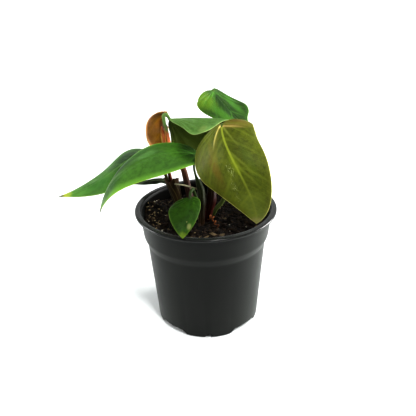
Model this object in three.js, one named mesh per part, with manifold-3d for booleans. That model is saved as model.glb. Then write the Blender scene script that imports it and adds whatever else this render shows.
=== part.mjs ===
// A small philodendron in a round plastic nursery pot.
// Millimetres, +Z up. The origin is the middle of the pot's flat base, and the
// front of the plant, where its largest leaf hangs over the rim, faces -Y.
import * as THREE from 'three';
import { mergeVertices } from 'three/addons/utils/BufferGeometryUtils.js';
import Module from 'manifold-3d';

const wasm = await Module();
wasm.setup();

// ---- driving dimensions -------------------------------------------------

const GAP = 0.3; // air left between two pieces that touch

const POT = {
  height: 98.5,
  lipRadius: 57, // a 4.5 inch nursery pot
  lipHeight: 2.3,
  lipBevel: 0.8,
  collarTopRadius: 53,
  collarFootRadius: 50.7,
  collarFootHeight: 77,
  bodyTopRadius: 48,
  bodyTopHeight: 70.5,
  bodyBevel: 1.4, // on the shoulder between the body and the collar
  baseRadius: 41.8,
  baseBevel: 1.2,
  wall: 1.2,
  floor: 1.7,
  segments: 60,
};

// Drain slots under the edge of the base: a wide arch in each quarter, and a narrow
// notch between each two.
const SLOTS = {
  reach: 8, // how far a slot runs in from the wall
  wide: { width: 31, height: 4.2, slope: 5.5, angles: [45, 135, 225, 315] },
  narrow: { width: 6, height: 2.8, slope: 1.4, angles: [0, 90, 180, 270] },
};

const SOIL = {
  clearance: 0.45, // from the wall of the pot
  level: 87.5,
  edgeDrop: 3, // how far below that level the wall of the soil ends
  mound: 2.2,
  moundReach: 50,
  bank: { centre: [-49, 14], reach: 17, height: 7 }, // heaped against the wall
  // lumps: height in mm, radians for each mm along X and along Y, radians at the origin
  waves: [
    [0.4, 0.21, 0.17, 0.3], [0.4, 0.21, -0.17, 1.1], [0.55, 0.43, -0.31, 1.9], [0.4, 0.37, 0.61, 1.57],
  ],
  rings: 8,
  segments: 48,
};

// Bark chips strewn on the soil. Ranges are from the smallest to the largest.
const CHIPS = {
  count: 26,
  seed: 43,
  reach: 44, // from the middle of the pot
  size: [1.3, 2.6],
  stretch: [[1, 1.9], [0.6, 1], [0.4, 0.7]], // along X, Y and Z
  tilt: [-0.25, 0.25],
  lift: 0.1, // of its size above the soil
};

const BLADE_THICKNESS = 0.7;
const RIB_DEPTH = 0.55; // how far the midrib stands out below the blade
const RIB_TAPER = 0.7; // the share of that depth lost by the tip
const LOBE_REACH = 0.2; // the share of the length that a bent basal lobe could take up
const ROW_SLANT = 0.6; // how steeply the rows of cells lean from the midrib to the tip
const WAVE = { turns: 14, left: 0.6, right: 2.9 }; // radians: over the length, at each base
const STEM_SIDES = 8;

const DEGREE = Math.PI / 180;

// ---- solids ---------------------------------------------------------------

// A closed manifold solid from a three.js geometry, faces turned outwards.
function solidOf(geometry) {
  const bare = geometry.clone();
  bare.deleteAttribute('normal');
  bare.deleteAttribute('uv');
  const merged = mergeVertices(bare, 1e-4);
  const places = merged.attributes.position.array;
  const corners = [];
  let volume = 0;
  const at = (i) => new THREE.Vector3().fromArray(places, 3 * i);
  for (let k = 0; k < merged.index.count; k += 3) {
    const [a, b, c] = [0, 1, 2].map((n) => merged.index.array[k + n]);
    if (a === b || b === c || c === a) continue;
    corners.push(a, b, c);
    volume += at(a).dot(at(b).cross(at(c)));
  }
  if (volume < 0) corners.reverse();
  const mesh = new wasm.Mesh({
    numProp: 3,
    vertProperties: new Float32Array(places),
    triVerts: new Uint32Array(corners),
  });
  mesh.merge();
  return new wasm.Manifold(mesh);
}

function geometryOf(solid) {
  const mesh = solid.getMesh();
  const geometry = new THREE.BufferGeometry();
  const places = new THREE.BufferAttribute(new Float32Array(mesh.vertProperties), 3);
  geometry.setAttribute('position', places);
  geometry.setIndex(new THREE.BufferAttribute(new Uint32Array(mesh.triVerts), 1));
  geometry.computeVertexNormals();
  return geometry;
}

function fused(solids) {
  return solids.reduce((whole, next) => whole.add(next));
}

// Booleans can leave crumbs: only the largest body is kept.
function largestBody(solid) {
  const bodies = solid.decompose();
  return bodies.reduce((best, body) => (body.volume() > best.volume() ? body : best));
}

function meshGeometry(places, corners) {
  const geometry = new THREE.BufferGeometry();
  geometry.setAttribute('position', new THREE.Float32BufferAttribute(places, 3));
  geometry.setIndex(corners);
  return geometry;
}

// A profile whose [radius, height, bevel] corners are cut off that far along both sides.
function bevelled(corners) {
  return corners.flatMap(([radius, height, bevel], i) => {
    if (!bevel) return [[radius, height]];
    const here = new THREE.Vector2(radius, height);
    return [corners[i - 1], corners[i + 1]].map(([x, y]) => (
      new THREE.Vector2(x, y).sub(here).setLength(bevel).add(here).toArray()
    ));
  });
}

// A full turn of a closed profile of [radius, height] points.
function turned(profile, segments) {
  const points = profile.map(([radius, height]) => new THREE.Vector2(radius, height));
  return new THREE.LatheGeometry(points, segments).rotateX(Math.PI / 2);
}

// Repeatable random numbers from 0 to 1.
function seeded(seed) {
  let state = seed >>> 0;
  return () => {
    state = (state + 0x6d2b79f5) >>> 0;
    let t = state;
    t = Math.imul(t ^ (t >>> 15), t | 1);
    t ^= t + Math.imul(t ^ (t >>> 7), t | 61);
    return ((t ^ (t >>> 14)) >>> 0) / 4294967296;
  };
}

const vector = ([x, y, z]) => new THREE.Vector3(x, y, z);
const mix = (a, b, share) => a + (b - a) * share;

// ---- pot ------------------------------------------------------------------

function potGeometry() {
  const p = POT;
  const underLip = p.height - p.lipHeight;
  const inner = (radius) => radius - p.wall;
  const profile = bevelled([
    [0, 0],
    [p.baseRadius, 0, p.baseBevel],
    [p.bodyTopRadius, p.bodyTopHeight, p.bodyBevel],
    [p.collarFootRadius, p.collarFootHeight, p.bodyBevel],
    [p.collarTopRadius, underLip, p.lipBevel / 2],
    [p.lipRadius, underLip, p.lipBevel],
    [p.lipRadius, p.height, p.lipBevel],
    [inner(p.collarTopRadius), p.height, 2 * p.lipBevel],
    [inner(p.collarFootRadius), p.collarFootHeight, p.bodyBevel / 2],
    [inner(p.bodyTopRadius), p.bodyTopHeight, p.bodyBevel],
    [inner(p.baseRadius), p.floor, p.baseBevel],
    [0, p.floor],
  ]);
  let pot = solidOf(turned(profile, p.segments));
  for (const kind of [SLOTS.wide, SLOTS.narrow]) {
    for (const angle of kind.angles) pot = pot.subtract(slot(kind, angle));
  }
  return geometryOf(pot);
}

// What one drain slot cuts away, running past the base and the wall.
function slot({ width, height, slope }, angle) {
  const past = 3;
  const [foot, top] = [width / 2, width / 2 - slope];
  const corners = [[-foot, -past], [foot, -past], [foot, 0], [top, height], [-top, height], [-foot, 0]];
  const outline = new THREE.Shape(corners.map(([x, y]) => new THREE.Vector2(x, y)));
  const depth = SLOTS.reach + past;
  const cutter = new THREE.ExtrudeGeometry(outline, { depth, bevelEnabled: false });
  cutter.rotateX(Math.PI / 2);
  cutter.translate(0, SLOTS.reach - POT.baseRadius, 0);
  cutter.rotateZ(angle * DEGREE);
  return solidOf(cutter);
}

// ---- soil -----------------------------------------------------------------

function soilHeight(x, y) {
  const dome = SOIL.mound * (1 - (x * x + y * y) / SOIL.moundReach ** 2);
  const [bankX, bankY] = SOIL.bank.centre;
  const away = ((x - bankX) ** 2 + (y - bankY) ** 2) / SOIL.bank.reach ** 2;
  const bank = SOIL.bank.height * Math.exp(-away);
  const lumps = SOIL.waves.map(([height, alongX, alongY, start]) => (
    height * Math.sin(alongX * x + alongY * y + start)
  ));
  return lumps.reduce((sum, lump) => sum + lump, SOIL.level + dome + bank);
}

function soilSolid() {
  const p = POT;
  const inside = (radius) => radius - p.wall - SOIL.clearance;
  const edgeHeight = SOIL.level - SOIL.edgeDrop;
  const upCollar = (edgeHeight - p.collarFootHeight) / (p.height - p.lipHeight - p.collarFootHeight);
  const edge = inside(mix(p.collarFootRadius, p.collarTopRadius, upCollar));
  const profile = bevelled([
    [0, p.floor + GAP],
    [inside(p.baseRadius), p.floor + GAP, p.baseBevel],
    [inside(p.bodyTopRadius), p.bodyTopHeight],
    [inside(p.collarFootRadius), p.collarFootHeight],
    [edge, edgeHeight],
  ]);
  const foot = profile.length;
  for (let ring = SOIL.rings; ring >= 0; ring -= 1) {
    profile.push([(edge * ring) / SOIL.rings, SOIL.level]);
  }
  const geometry = turned(profile, SOIL.segments);
  const place = geometry.attributes.position;
  for (let i = 0; i < place.count; i += 1) {
    if (i % profile.length >= foot) {
      place.setZ(i, soilHeight(place.getX(i), place.getY(i)));
    }
  }
  return solidOf(geometry);
}

// Bark chips lying half sunk in the soil.
function barkChips() {
  const random = seeded(CHIPS.seed);
  const between = ([least, most]) => mix(least, most, random());
  const chips = [];
  while (chips.length < CHIPS.count) {
    const reach = CHIPS.reach * Math.sqrt(random());
    const angle = 2 * Math.PI * random();
    const x = reach * Math.cos(angle);
    const y = reach * Math.sin(angle);
    const size = between(CHIPS.size);
    const chip = new THREE.IcosahedronGeometry(size, 0);
    chip.scale(...CHIPS.stretch.map(between));
    chip.rotateX(between(CHIPS.tilt));
    chip.rotateZ(2 * Math.PI * random());
    chip.translate(x, y, soilHeight(x, y) + CHIPS.lift * size);
    chips.push(solidOf(chip));
  }
  return chips;
}

// ---- leaf blades ------------------------------------------------------------

// Half outlines of a blade, flattened: [share of the length from the petiole,
// share of the full width from the midrib], round the basal lobe and on to the tip.
const OUTLINE = {
  blunt: [
    [0, 0], [-0.045, 0.07], [-0.075, 0.18], [-0.06, 0.32], [0.02, 0.44], [0.17, 0.5],
    [0.4, 0.48], [0.62, 0.39], [0.81, 0.24], [0.93, 0.105], [1, 0],
  ],
  slim: [
    [0, 0], [-0.05, 0.07], [-0.085, 0.18], [-0.07, 0.32], [0.02, 0.44], [0.19, 0.5],
    [0.4, 0.47], [0.62, 0.35], [0.81, 0.18], [0.92, 0.07], [1, 0],
  ],
  rounded: [
    [0, 0], [-0.015, 0.065], [-0.057, 0.155], [-0.064, 0.3], [-0.017, 0.425], [0.135, 0.5],
    [0.33, 0.505], [0.54, 0.36], [0.73, 0.18], [0.87, 0.07], [1, 0],
  ],
  eared: [
    [0, 0], [-0.045, 0.07], [-0.08, 0.18], [-0.1, 0.32], [-0.11, 0.45], [0.16, 0.5],
    [0.4, 0.48], [0.62, 0.39], [0.81, 0.24], [0.93, 0.105], [1, 0],
  ],
  swept: [
    [0, 0], [-0.023, 0.078], [-0.002, 0.152], [0.038, 0.22], [0.15, 0.325], [0.31, 0.46],
    [0.485, 0.466], [0.66, 0.37], [0.745, 0.19], [0.865, 0.06], [1, 0],
  ],
};

// Each blade follows its midrib, a Bezier curve from the petiole to the tip.
// facing is where the upper face looks at the base and at the tip. For each half,
// seen from above with the tip ahead: its width, the angle by which it folds down
// from the midrib, and how much further it curls down by its edge, both given at
// the base and at the tip, in degrees. lobeDrop bends the basal lobes down.
const LEAVES = {
  blade_front_large: {
    rib: [[13.3, -17.5, 172.8], [10, -44.5, 163.6], [38.7, -59.3, 133.8], [37, -46, 105.5]],
    facing: [[-0.24, -0.28, 0.93], [-0.11, -0.91, -0.4]],
    left: { width: 24.5, fold: [-6, 4], curl: [47, 36], outline: 'eared' },
    right: { width: 33.8, fold: [24, 11], curl: [30, 12], outline: 'blunt' },
    lobeDrop: 65,
    wave: 0.5,
    cells: [28, 6],
    colour: '#77803a',
  },
  blade_top_tented: {
    rib: [[-27, 27, 163.5], [-15.5, 33, 162.6], [9.5, 39.5, 160], [26, 35, 157.6]],
    facing: [[-0.19, 0.23, 0.95], [0.23, 0.15, 0.96]],
    left: { width: 30, fold: [78, 72], curl: [19, 13], outline: 'blunt' },
    right: { width: 35.5, fold: [5, -15], curl: [35, 33], outline: 'blunt' },
    lobeDrop: 55,
    wave: 0.3,
    cells: [26, 5],
    colour: '#5c8753',
  },
  blade_left_long: {
    rib: [[-6.5, 7.5, 139.5], [-28.5, -4, 153.8], [-75, -18, 141], [-79.7, -31, 109.4]],
    facing: [[0.62, -0.28, 0.73], [-0.87, -0.39, 0.29]],
    left: { width: 21.6, fold: [-36, 19], curl: [10, 29], outline: 'slim' },
    right: { width: 18.3, fold: [16, 19], curl: [14, 17], outline: 'slim' },
    lobeDrop: 51,
    wave: 0.3,
    cells: [28, 5],
    colour: '#4f8f3a',
  },
  blade_young_copper: {
    rib: [[-33.5, 44.5, 158.5], [-39, 43.5, 160], [-36, 46.5, 137], [-35.5, 45, 126]],
    facing: [[-0.17, 0.94, 0.29], [-0.31, 0.94, -0.13]],
    left: { width: 16, fold: [18, 13], curl: [33, 32], outline: 'blunt' },
    right: { width: 13, fold: [51, 48], curl: [35, 32], outline: 'blunt' },
    lobeDrop: 30,
    wave: 0.2,
    cells: [18, 4],
    colour: '#8f6236',
  },
  blade_left_rear: {
    rib: [[-36, 19, 135], [-59, 16, 151.5], [-72.5, 10.5, 113], [-119, 7.5, 106.5]],
    facing: [[0.59, -0.2, 0.78], [-0.11, -0.31, 0.95]],
    left: { width: 18.5, fold: [12, 4], curl: [16, 14], outline: 'slim' },
    right: { width: 21.5, fold: [25, 13], curl: [21, 14], outline: 'slim' },
    lobeDrop: 20,
    wave: 0.3,
    cells: [28, 5],
    colour: '#4a8240',
  },
  blade_top_rear: {
    rib: [[8.3, 69.5, 174.3], [15.5, 66.5, 165.5], [27.5, 53, 152], [44.5, 54.5, 140.5]],
    facing: [[0.68, -0.13, 0.72], [0.54, -0.13, 0.83]],
    left: { width: 30, fold: [2, -12], curl: [-6, -13], outline: 'swept' },
    right: { width: 29.5, fold: [6, -7], curl: [28, 20], outline: 'rounded' },
    lobeDrop: 15,
    wave: 0.6,
    cells: [28, 5],
    colour: '#55913c',
  },
  blade_front_small: {
    rib: [[-11.5, -29.5, 119.5], [-11.5, -39, 116.5], [-15, -48.5, 110.5], [-17, -55.5, 99.5]],
    facing: [[-0.07, -0.31, 0.95], [0.21, -0.86, 0.46]],
    left: { width: 8.5, fold: [10, 8], curl: [12, 11], outline: 'blunt' },
    right: { width: 15.5, fold: [12, 3], curl: [16, 9], outline: 'blunt' },
    lobeDrop: 30,
    wave: 0.15,
    cells: [20, 4],
    colour: '#3f6a34',
  },
  blade_rear_low: {
    rib: [[-31, 29.5, 107.5], [-38, 35.5, 109.5], [-50.5, 33, 106.5], [-61.5, 36, 103.5]],
    facing: [[0.29, 0.06, 0.95], [-0.26, 0.02, 0.97]],
    left: { width: 9, fold: [-3, 3], curl: [5, 10], outline: 'slim' },
    right: { width: 10, fold: [6, 7], curl: [10, 9], outline: 'slim' },
    lobeDrop: 0,
    wave: 0.15,
    cells: [18, 4],
    colour: '#4c6650',
  },
};

// Where a point of the flat blade lies in the grown one: a point and the way up
// there. along is a share of the length, across a share of the full width, and
// side is 1 on the left half and -1 on the right half.
function bladePoint(leaf, curve, along, across, side) {
  const half = side > 0 ? leaf.left : leaf.right;
  const share = THREE.MathUtils.clamp(along, 0, 1);
  const length = curve.getLength();
  const ahead = curve.getTangentAt(share);
  const [start, end] = leaf.facing.map((way) => vector(way).normalize());
  const up = start.lerp(end, share);
  up.addScaledVector(ahead, -up.dot(ahead)).normalize();
  const left = up.clone().cross(ahead);
  const place = curve.getPointAt(share);
  if (along < 0) {
    const bend = Math.max(leaf.lobeDrop, 0.1) * DEGREE;
    const radius = (LOBE_REACH * length) / bend;
    const turn = (bend * -along) / LOBE_REACH;
    place.addScaledVector(ahead, -radius * Math.sin(turn));
    place.addScaledVector(up, -radius * (1 - Math.cos(turn)));
    up.multiplyScalar(Math.cos(turn)).addScaledVector(ahead, -Math.sin(turn));
  }
  const fold = mix(half.fold[0], half.fold[1], share) * DEGREE;
  const curl = (mix(half.curl[0], half.curl[1], share) || 0.01) * DEGREE;
  const reach = across / 0.5;
  const angle = fold + curl * reach;
  const out = (half.width * (Math.sin(angle) - Math.sin(fold))) / curl;
  const rise = (half.width * (Math.cos(angle) - Math.cos(fold))) / curl;
  if (across === 0) return { place, up };
  const phase = WAVE.turns * along + (side > 0 ? WAVE.left : WAVE.right);
  const wave = leaf.wave * reach * reach * Math.sin(phase);
  place.addScaledVector(left, side * out).addScaledVector(up, rise);
  up.multiplyScalar(Math.cos(angle)).addScaledVector(left, side * Math.sin(angle));
  place.addScaledVector(up, wave);
  return { place, up };
}

// Where each row of cells leaves the midrib, as a share of its length.
function rowRoots(leaf, edges, length) {
  const rows = leaf.cells[0];
  const roots = [0];
  for (let row = 1; row < rows; row += 1) {
    const rims = edges.map((edge) => edge.getPoint(row / rows));
    const slant = (ROW_SLANT * (leaf.left.width + leaf.right.width)) / length;
    const root = (rims[0].x + rims[1].x) / 2 - (slant * (rims[0].y + rims[1].y)) / 2;
    roots.push(THREE.MathUtils.clamp(root, roots[row - 1], 1));
  }
  return [...roots, 1];
}

// A closed thin shell. Both faces are split into the same triangles.
function bladeGeometry(leaf, thickness = BLADE_THICKNESS, ribDepth = RIB_DEPTH) {
  const curve = new THREE.CubicBezierCurve3(...leaf.rib.map(vector));
  const [rows, columns] = leaf.cells;
  const edges = [leaf.left, leaf.right].map(({ outline }) => (
    new THREE.SplineCurve(OUTLINE[outline].map(([x, y]) => new THREE.Vector2(x, y)))
  ));
  const roots = rowRoots(leaf, edges, curve.getLength());
  const places = [];
  const corners = [];
  for (const side of [1, -1]) {
    const edge = side > 0 ? edges[0] : edges[1];
    const first = places.length / 3;
    for (let row = 0; row <= rows; row += 1) {
      const rim = edge.getPoint(row / rows);
      for (let column = 0; column <= columns; column += 1) {
        const share = column / columns;
        const along = mix(roots[row], rim.x, share);
        const { place, up } = bladePoint(leaf, curve, along, rim.y * share, side);
        const ridge = column === 0 ? ribDepth * (1 - RIB_TAPER * roots[row]) : 0;
        const top = place.clone().addScaledVector(up, thickness / 2);
        const bottom = place.clone().addScaledVector(up, -thickness / 2 - ridge);
        places.push(...top.toArray(), ...bottom.toArray());
      }
    }
    const index = (row, column, face) => first + 2 * (row * (columns + 1) + column) + face;
    const triangle = (a, b, c) => corners.push(...(side > 0 ? [a, b, c] : [a, c, b]));
    for (let row = 0; row < rows; row += 1) {
      for (let column = 0; column < columns; column += 1) {
        const quad = (face) => [
          index(row, column, face),
          index(row + 1, column, face),
          index(row + 1, column + 1, face),
          index(row, column + 1, face),
        ];
        const [a, b, c, d] = quad(0);
        triangle(a, b, c);
        triangle(a, c, d);
        const [e, f, g, h] = quad(1);
        triangle(e, g, f);
        triangle(e, h, g);
      }
      const [near, far] = [index(row, columns, 0), index(row + 1, columns, 0)];
      triangle(near, far, far + 1);
      triangle(near, far + 1, near + 1);
    }
  }
  return meshGeometry(places, corners);
}

// ---- stems and petioles -----------------------------------------------------

// Routes of the stems and petioles, from the soil up to the blade that each one
// carries: [x, y, z, radius].
const SOIL_DEPTH = 74; // the rooted ends lie this high, about 14 mm deep in the soil

const ROUTES = {
  vine_centre: [
    // the maroon stem and the petiole of the rear top leaf
    [
      [1.5, -6.5, SOIL_DEPTH, 2.2], [1.5, -7, 88, 2.7], [2.3, -6.5, 96, 3],
      [4.6, -4.5, 106, 3.9], [5.5, 1.5, 116, 3.5], [8, 11, 124, 2], [11, 25, 131, 1.5],
      [12, 42, 138, 1.3], [11, 58, 151, 1.2], [8.8, 67, 162.5, 1.2], [7.6, 70.3, 172, 1.2],
    ],
    // a thick root, curled on the soil
    [
      [2, -7.5, 91, 1.3], [4, -10.5, 94.5, 1.2], [6, -13.8, 93, 1.2],
      [8, -16.5, 90.5, 1.1], [10, -19, 86.5, 1],
    ],
  ],
  vine_front: [
    // the grey-green sheath and the thin petiole of the long left leaf
    [
      [-3.6, -12.5, SOIL_DEPTH, 2.1], [-3.6, -12.5, 88, 2.5], [-3.6, -11.5, 97, 2.6],
      [-3.2, -8.8, 106, 3.3], [-3.5, -5, 113, 3.3], [-5, -2.5, 119.5, 2.4],
      [-7, -0.5, 124.5, 1.1], [-8.5, 4, 132, 0.9], [-6.8, 7.2, 138.3, 1],
    ],
    // the petiole of the small front leaf
    [
      [-3.8, -11.5, 98, 1.2], [-5.8, -14, 108, 1.2], [-8, -18, 118, 1.1],
      [-9.5, -23, 124, 1.2], [-10.8, -26.8, 123.2, 1.1], [-11.4, -28.6, 120.6, 1],
    ],
    // a thin aerial root
    [
      [-5, -4.5, 115.5, 0.9], [-12, -6, 118.5, 0.7], [-17.5, -5, 119.8, 0.6],
      [-24, -3.6, 120.2, 0.5],
    ],
  ],
  vine_right: [
    // the grey-green petiole of the large front leaf
    [
      [4, 1, SOIL_DEPTH, 1.8], [5, 1, 88, 1.9], [8, 2, 94.5, 1.8], [13, 3.5, 100, 1.8],
      [18, 5, 110, 1.6], [20.5, 0, 130, 1.5], [19, -8, 150, 1.4], [15.4, -14.6, 165.8, 1.3],
      [13.6, -16.7, 171.4, 1.3],
    ],
  ],
  vine_left: [
    // the purple-brown petiole of the tented leaf, hooked over at its top
    [
      [-10, 3, SOIL_DEPTH, 2], [-10.5, 3, 88, 2.3], [-11.5, 4, 99, 2.5],
      [-14, 6, 112.5, 2.6], [-17, 10, 126, 2.3], [-22.5, 15.5, 135, 1.6],
      [-27.5, 21.5, 144, 1.3], [-29.6, 25, 153.5, 1.2], [-31.5, 25.5, 162, 1.3],
      [-31.6, 26, 166.6, 1.6], [-30, 26.5, 167.4, 1.5], [-28, 26.8, 165, 1.2],
    ],
  ],
  vine_young: [
    // the young shoot and the petiole of the copper leaf
    [
      [-19, 5, SOIL_DEPTH, 1.9], [-19.5, 5, 90, 2.2], [-22, 4.5, 100, 2.3],
      [-24.5, 5.5, 109, 2], [-27, 8, 116.5, 1.6], [-28.6, 13, 121, 1.4],
      [-30.4, 20, 126, 1.3], [-32.3, 30, 134.5, 1.2], [-33.5, 38.5, 143.5, 1.2],
      [-34.6, 44, 152, 1.1], [-34, 45.8, 156.8, 1.1],
    ],
    // the petiole of the rear left leaf
    [
      [-24.5, 5.5, 109, 1.7], [-29.5, 8, 117, 1.4], [-32, 12, 122.5, 1.3],
      [-34.4, 16.5, 129, 1.2], [-35.2, 18.4, 132.6, 1.2],
    ],
    // the petiole of the low rear leaf
    [
      [-20.5, 5.5, 94, 1.5], [-23, 13, 101, 1.2], [-27.5, 24, 106, 1.1], [-30.2, 28.6, 107.4, 1],
    ],
  ],
};

const CARRIED_BY = {
  vine_centre: ['blade_top_rear'],
  vine_front: ['blade_left_long', 'blade_front_small'],
  vine_right: ['blade_front_large'],
  vine_left: ['blade_top_tented'],
  vine_young: ['blade_young_copper', 'blade_left_rear', 'blade_rear_low'],
};

const VINE_COLOUR = {
  vine_centre: '#5a2c24',
  vine_front: '#626b48',
  vine_right: '#6c7350',
  vine_left: '#6a4440',
  vine_young: '#a8583f',
};

// A closed tube with a radius of its own at each point of its route.
function stemGeometry(route, grow = 0) {
  const path = new THREE.CatmullRomCurve3(route.map(vector), false, 'centripetal');
  const steps = 2 * (route.length - 1);
  const frames = path.computeFrenetFrames(steps, false);
  const centreAt = (share) => {
    const outward = Math.floor(share) - Math.floor(1 - share);
    const centre = path.getPointAt(share);
    return centre.addScaledVector(path.getTangentAt(share), grow * outward);
  };
  const places = [];
  const corners = [];
  for (let step = 0; step <= steps; step += 1) {
    const share = step / steps;
    const centre = centreAt(share);
    const radius = radiusAt(route, path, share) + grow;
    for (let side = 0; side < STEM_SIDES; side += 1) {
      const angle = (2 * Math.PI * side) / STEM_SIDES;
      const point = centre.clone();
      point.addScaledVector(frames.normals[step], radius * Math.cos(angle));
      point.addScaledVector(frames.binormals[step], radius * Math.sin(angle));
      places.push(...point.toArray());
    }
  }
  const ends = [0, 1].map(centreAt);
  ends.forEach((end) => places.push(...end.toArray()));
  const centres = [places.length / 3 - 2, places.length / 3 - 1];
  for (let side = 0; side < STEM_SIDES; side += 1) {
    const next = (side + 1) % STEM_SIDES;
    for (let step = 0; step < steps; step += 1) {
      const [a, b] = [step * STEM_SIDES + side, step * STEM_SIDES + next];
      corners.push(a, b, b + STEM_SIDES, a, b + STEM_SIDES, a + STEM_SIDES);
    }
    const last = steps * STEM_SIDES;
    corners.push(centres[0], next, side, centres[1], last + side, last + next);
  }
  return meshGeometry(places, corners);
}

// The radius at a share of the path's length, between the route's own points.
function radiusAt(route, path, share) {
  const place = path.getUtoTmapping(share) * (route.length - 1);
  const before = Math.min(Math.floor(place), route.length - 2);
  return mix(route[before][3], route[before + 1][3], place - before);
}

function vineSolid(name) {
  let vine = fused(ROUTES[name].map((route) => solidOf(stemGeometry(route))));
  for (const blade of CARRIED_BY[name]) {
    const room = bladeGeometry(LEAVES[blade], BLADE_THICKNESS + 2 * GAP, RIB_DEPTH);
    const [base, next] = LEAVES[blade].rib.map(vector);
    const back = base.sub(next).setLength(GAP);
    vine = vine.subtract(solidOf(room)).subtract(solidOf(room.translate(...back.toArray())));
  }
  return largestBody(vine);
}

// ---- dry sheath ---------------------------------------------------------------

// The papery scale that the young shoot grew out of: a gutter round the front of
// it, open at the back, with a split upper edge.
const SHEATH = {
  route: [[-19.5, 5, 91.6], [-22, 4.2, 100], [-24, 3.8, 110], [-26, 3.2, 118], [-27, 2.8, 125]],
  radius: [2.9, 3.4, 4.2, 4.8, 5.6],
  span: [150, 165, 190, 200, 215], // degrees round the shoot
  front: 262, // the direction of its middle, in degrees from +X
  thickness: 0.7,
  columns: 12,
  rows: 8,
  // the split: shares of its height, and of its half width from the middle
  split: { depth: 0.16, place: -0.1, reach: 0.35 },
  cornerDrop: 0.1, // how much lower its two upper corners end
};

function sheathGeometry() {
  const { route, rows, columns, split } = SHEATH;
  const path = new THREE.CatmullRomCurve3(route.map(vector), false, 'centripetal');
  const listed = (values, share) => {
    const place = share * (values.length - 1);
    const before = Math.min(Math.floor(place), values.length - 2);
    return mix(values[before], values[before + 1], place - before);
  };
  const places = [];
  for (let row = 0; row <= rows; row += 1) {
    for (let column = 0; column <= columns; column += 1) {
      const across = (2 * column) / columns - 1;
      const notch = Math.max(0, 1 - Math.abs(across - split.place) / split.reach);
      const corner = 1 - SHEATH.cornerDrop * across * across;
      const share = (row / rows) * (1 - split.depth * notch) * corner;
      const centre = path.getPoint(share);
      const angle = (SHEATH.front + (across * listed(SHEATH.span, share)) / 2) * DEGREE;
      const out = new THREE.Vector3(Math.cos(angle), Math.sin(angle), 0);
      const outer = listed(SHEATH.radius, share) + SHEATH.thickness;
      const inner = listed(SHEATH.radius, share);
      places.push(...centre.clone().addScaledVector(out, outer).toArray());
      places.push(...centre.clone().addScaledVector(out, inner).toArray());
    }
  }
  const corners = [];
  const index = (row, column, face) => 2 * (row * (columns + 1) + column) + face;
  const quad = (a, b, c, d) => corners.push(a, b, c, a, c, d);
  for (let row = 0; row < rows; row += 1) {
    for (let column = 0; column < columns; column += 1) {
      const at = (face) => [
        index(row, column, face),
        index(row, column + 1, face),
        index(row + 1, column + 1, face),
        index(row + 1, column, face),
      ];
      quad(...at(0));
      quad(...at(1).reverse());
    }
    quad(index(row, 0, 0), index(row + 1, 0, 0), index(row + 1, 0, 1), index(row, 0, 1));
    const end = columns;
    quad(index(row, end, 1), index(row + 1, end, 1), index(row + 1, end, 0), index(row, end, 0));
  }
  for (let column = 0; column < columns; column += 1) {
    const [low, high] = [0, rows];
    const [here, next] = [column, column + 1];
    quad(index(low, next, 0), index(low, here, 0), index(low, here, 1), index(low, next, 1));
    quad(index(high, here, 0), index(high, next, 0), index(high, next, 1), index(high, here, 1));
  }
  return meshGeometry(places, corners);
}

// ---- assembly -----------------------------------------------------------------

function piece(name, geometry, colour, roughness) {
  const material = new THREE.MeshStandardMaterial({ color: colour, roughness, metalness: 0 });
  const mesh = new THREE.Mesh(geometry, material);
  mesh.name = name;
  return mesh;
}

// The soil with its chips, and a plain hole for each stem and root that stands in it.
function plantedSoil() {
  let soil = fused([soilSolid(), ...barkChips()]);
  for (const routes of Object.values(ROUTES)) {
    for (const route of routes) {
      soil = soil.subtract(solidOf(stemGeometry(route, GAP)));
    }
  }
  return largestBody(soil);
}

const plant = new THREE.Group();
plant.add(piece('pot', potGeometry(), '#242524', 0.45));
plant.add(piece('soil', geometryOf(plantedSoil()), '#2e2118', 0.95));
for (const name of Object.keys(ROUTES)) {
  plant.add(piece(name, geometryOf(vineSolid(name)), VINE_COLOUR[name], 0.5));
}
plant.add(piece('dry_sheath', geometryOf(solidOf(sheathGeometry())), '#6f5a36', 0.8));
for (const [name, leaf] of Object.entries(LEAVES)) {
  plant.add(piece(name, geometryOf(solidOf(bladeGeometry(leaf))), leaf.colour, 0.45));
}

export default plant;
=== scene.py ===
# A small philodendron in a black nursery pot: the looks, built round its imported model.
# Sizes are in millimetres and become metres where a mesh is made.
import math

import bmesh
import bpy
import numpy as np
from mathutils import Matrix, Vector, noise


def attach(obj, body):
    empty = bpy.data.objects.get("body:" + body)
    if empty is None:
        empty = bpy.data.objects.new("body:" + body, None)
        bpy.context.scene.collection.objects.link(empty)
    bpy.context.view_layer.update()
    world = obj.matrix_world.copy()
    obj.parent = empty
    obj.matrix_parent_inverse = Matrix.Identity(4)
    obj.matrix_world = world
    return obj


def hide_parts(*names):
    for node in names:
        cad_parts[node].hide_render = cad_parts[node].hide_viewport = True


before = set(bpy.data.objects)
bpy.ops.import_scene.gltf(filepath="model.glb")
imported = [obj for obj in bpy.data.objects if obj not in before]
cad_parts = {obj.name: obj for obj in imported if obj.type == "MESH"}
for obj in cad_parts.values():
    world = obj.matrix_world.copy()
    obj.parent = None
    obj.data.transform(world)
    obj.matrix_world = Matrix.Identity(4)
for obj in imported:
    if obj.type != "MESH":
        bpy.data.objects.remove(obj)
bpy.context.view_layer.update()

MM = 0.001


# ---- numbers ------------------------------------------------------------------

def unit(v):
    return v / np.maximum(np.linalg.norm(v, axis=-1, keepdims=True), 1e-12)


def mix(a, b, share):
    return a + (b - a) * share


def smooth(low, high, value):
    t = np.clip((value - low) / (high - low), 0, 1)
    return t * t * (3 - 2 * t)


# ---- nodes and colours ----------------------------------------------------------

def linear(colour):
    """An sRGB hex colour as the linear one that a shader takes."""
    channels = [int(colour[i:i + 2], 16) / 255 for i in (1, 3, 5)]
    return [c / 12.92 if c <= 0.04045 else ((c + 0.055) / 1.055) ** 2.4 for c in channels] + [1.0]


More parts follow.
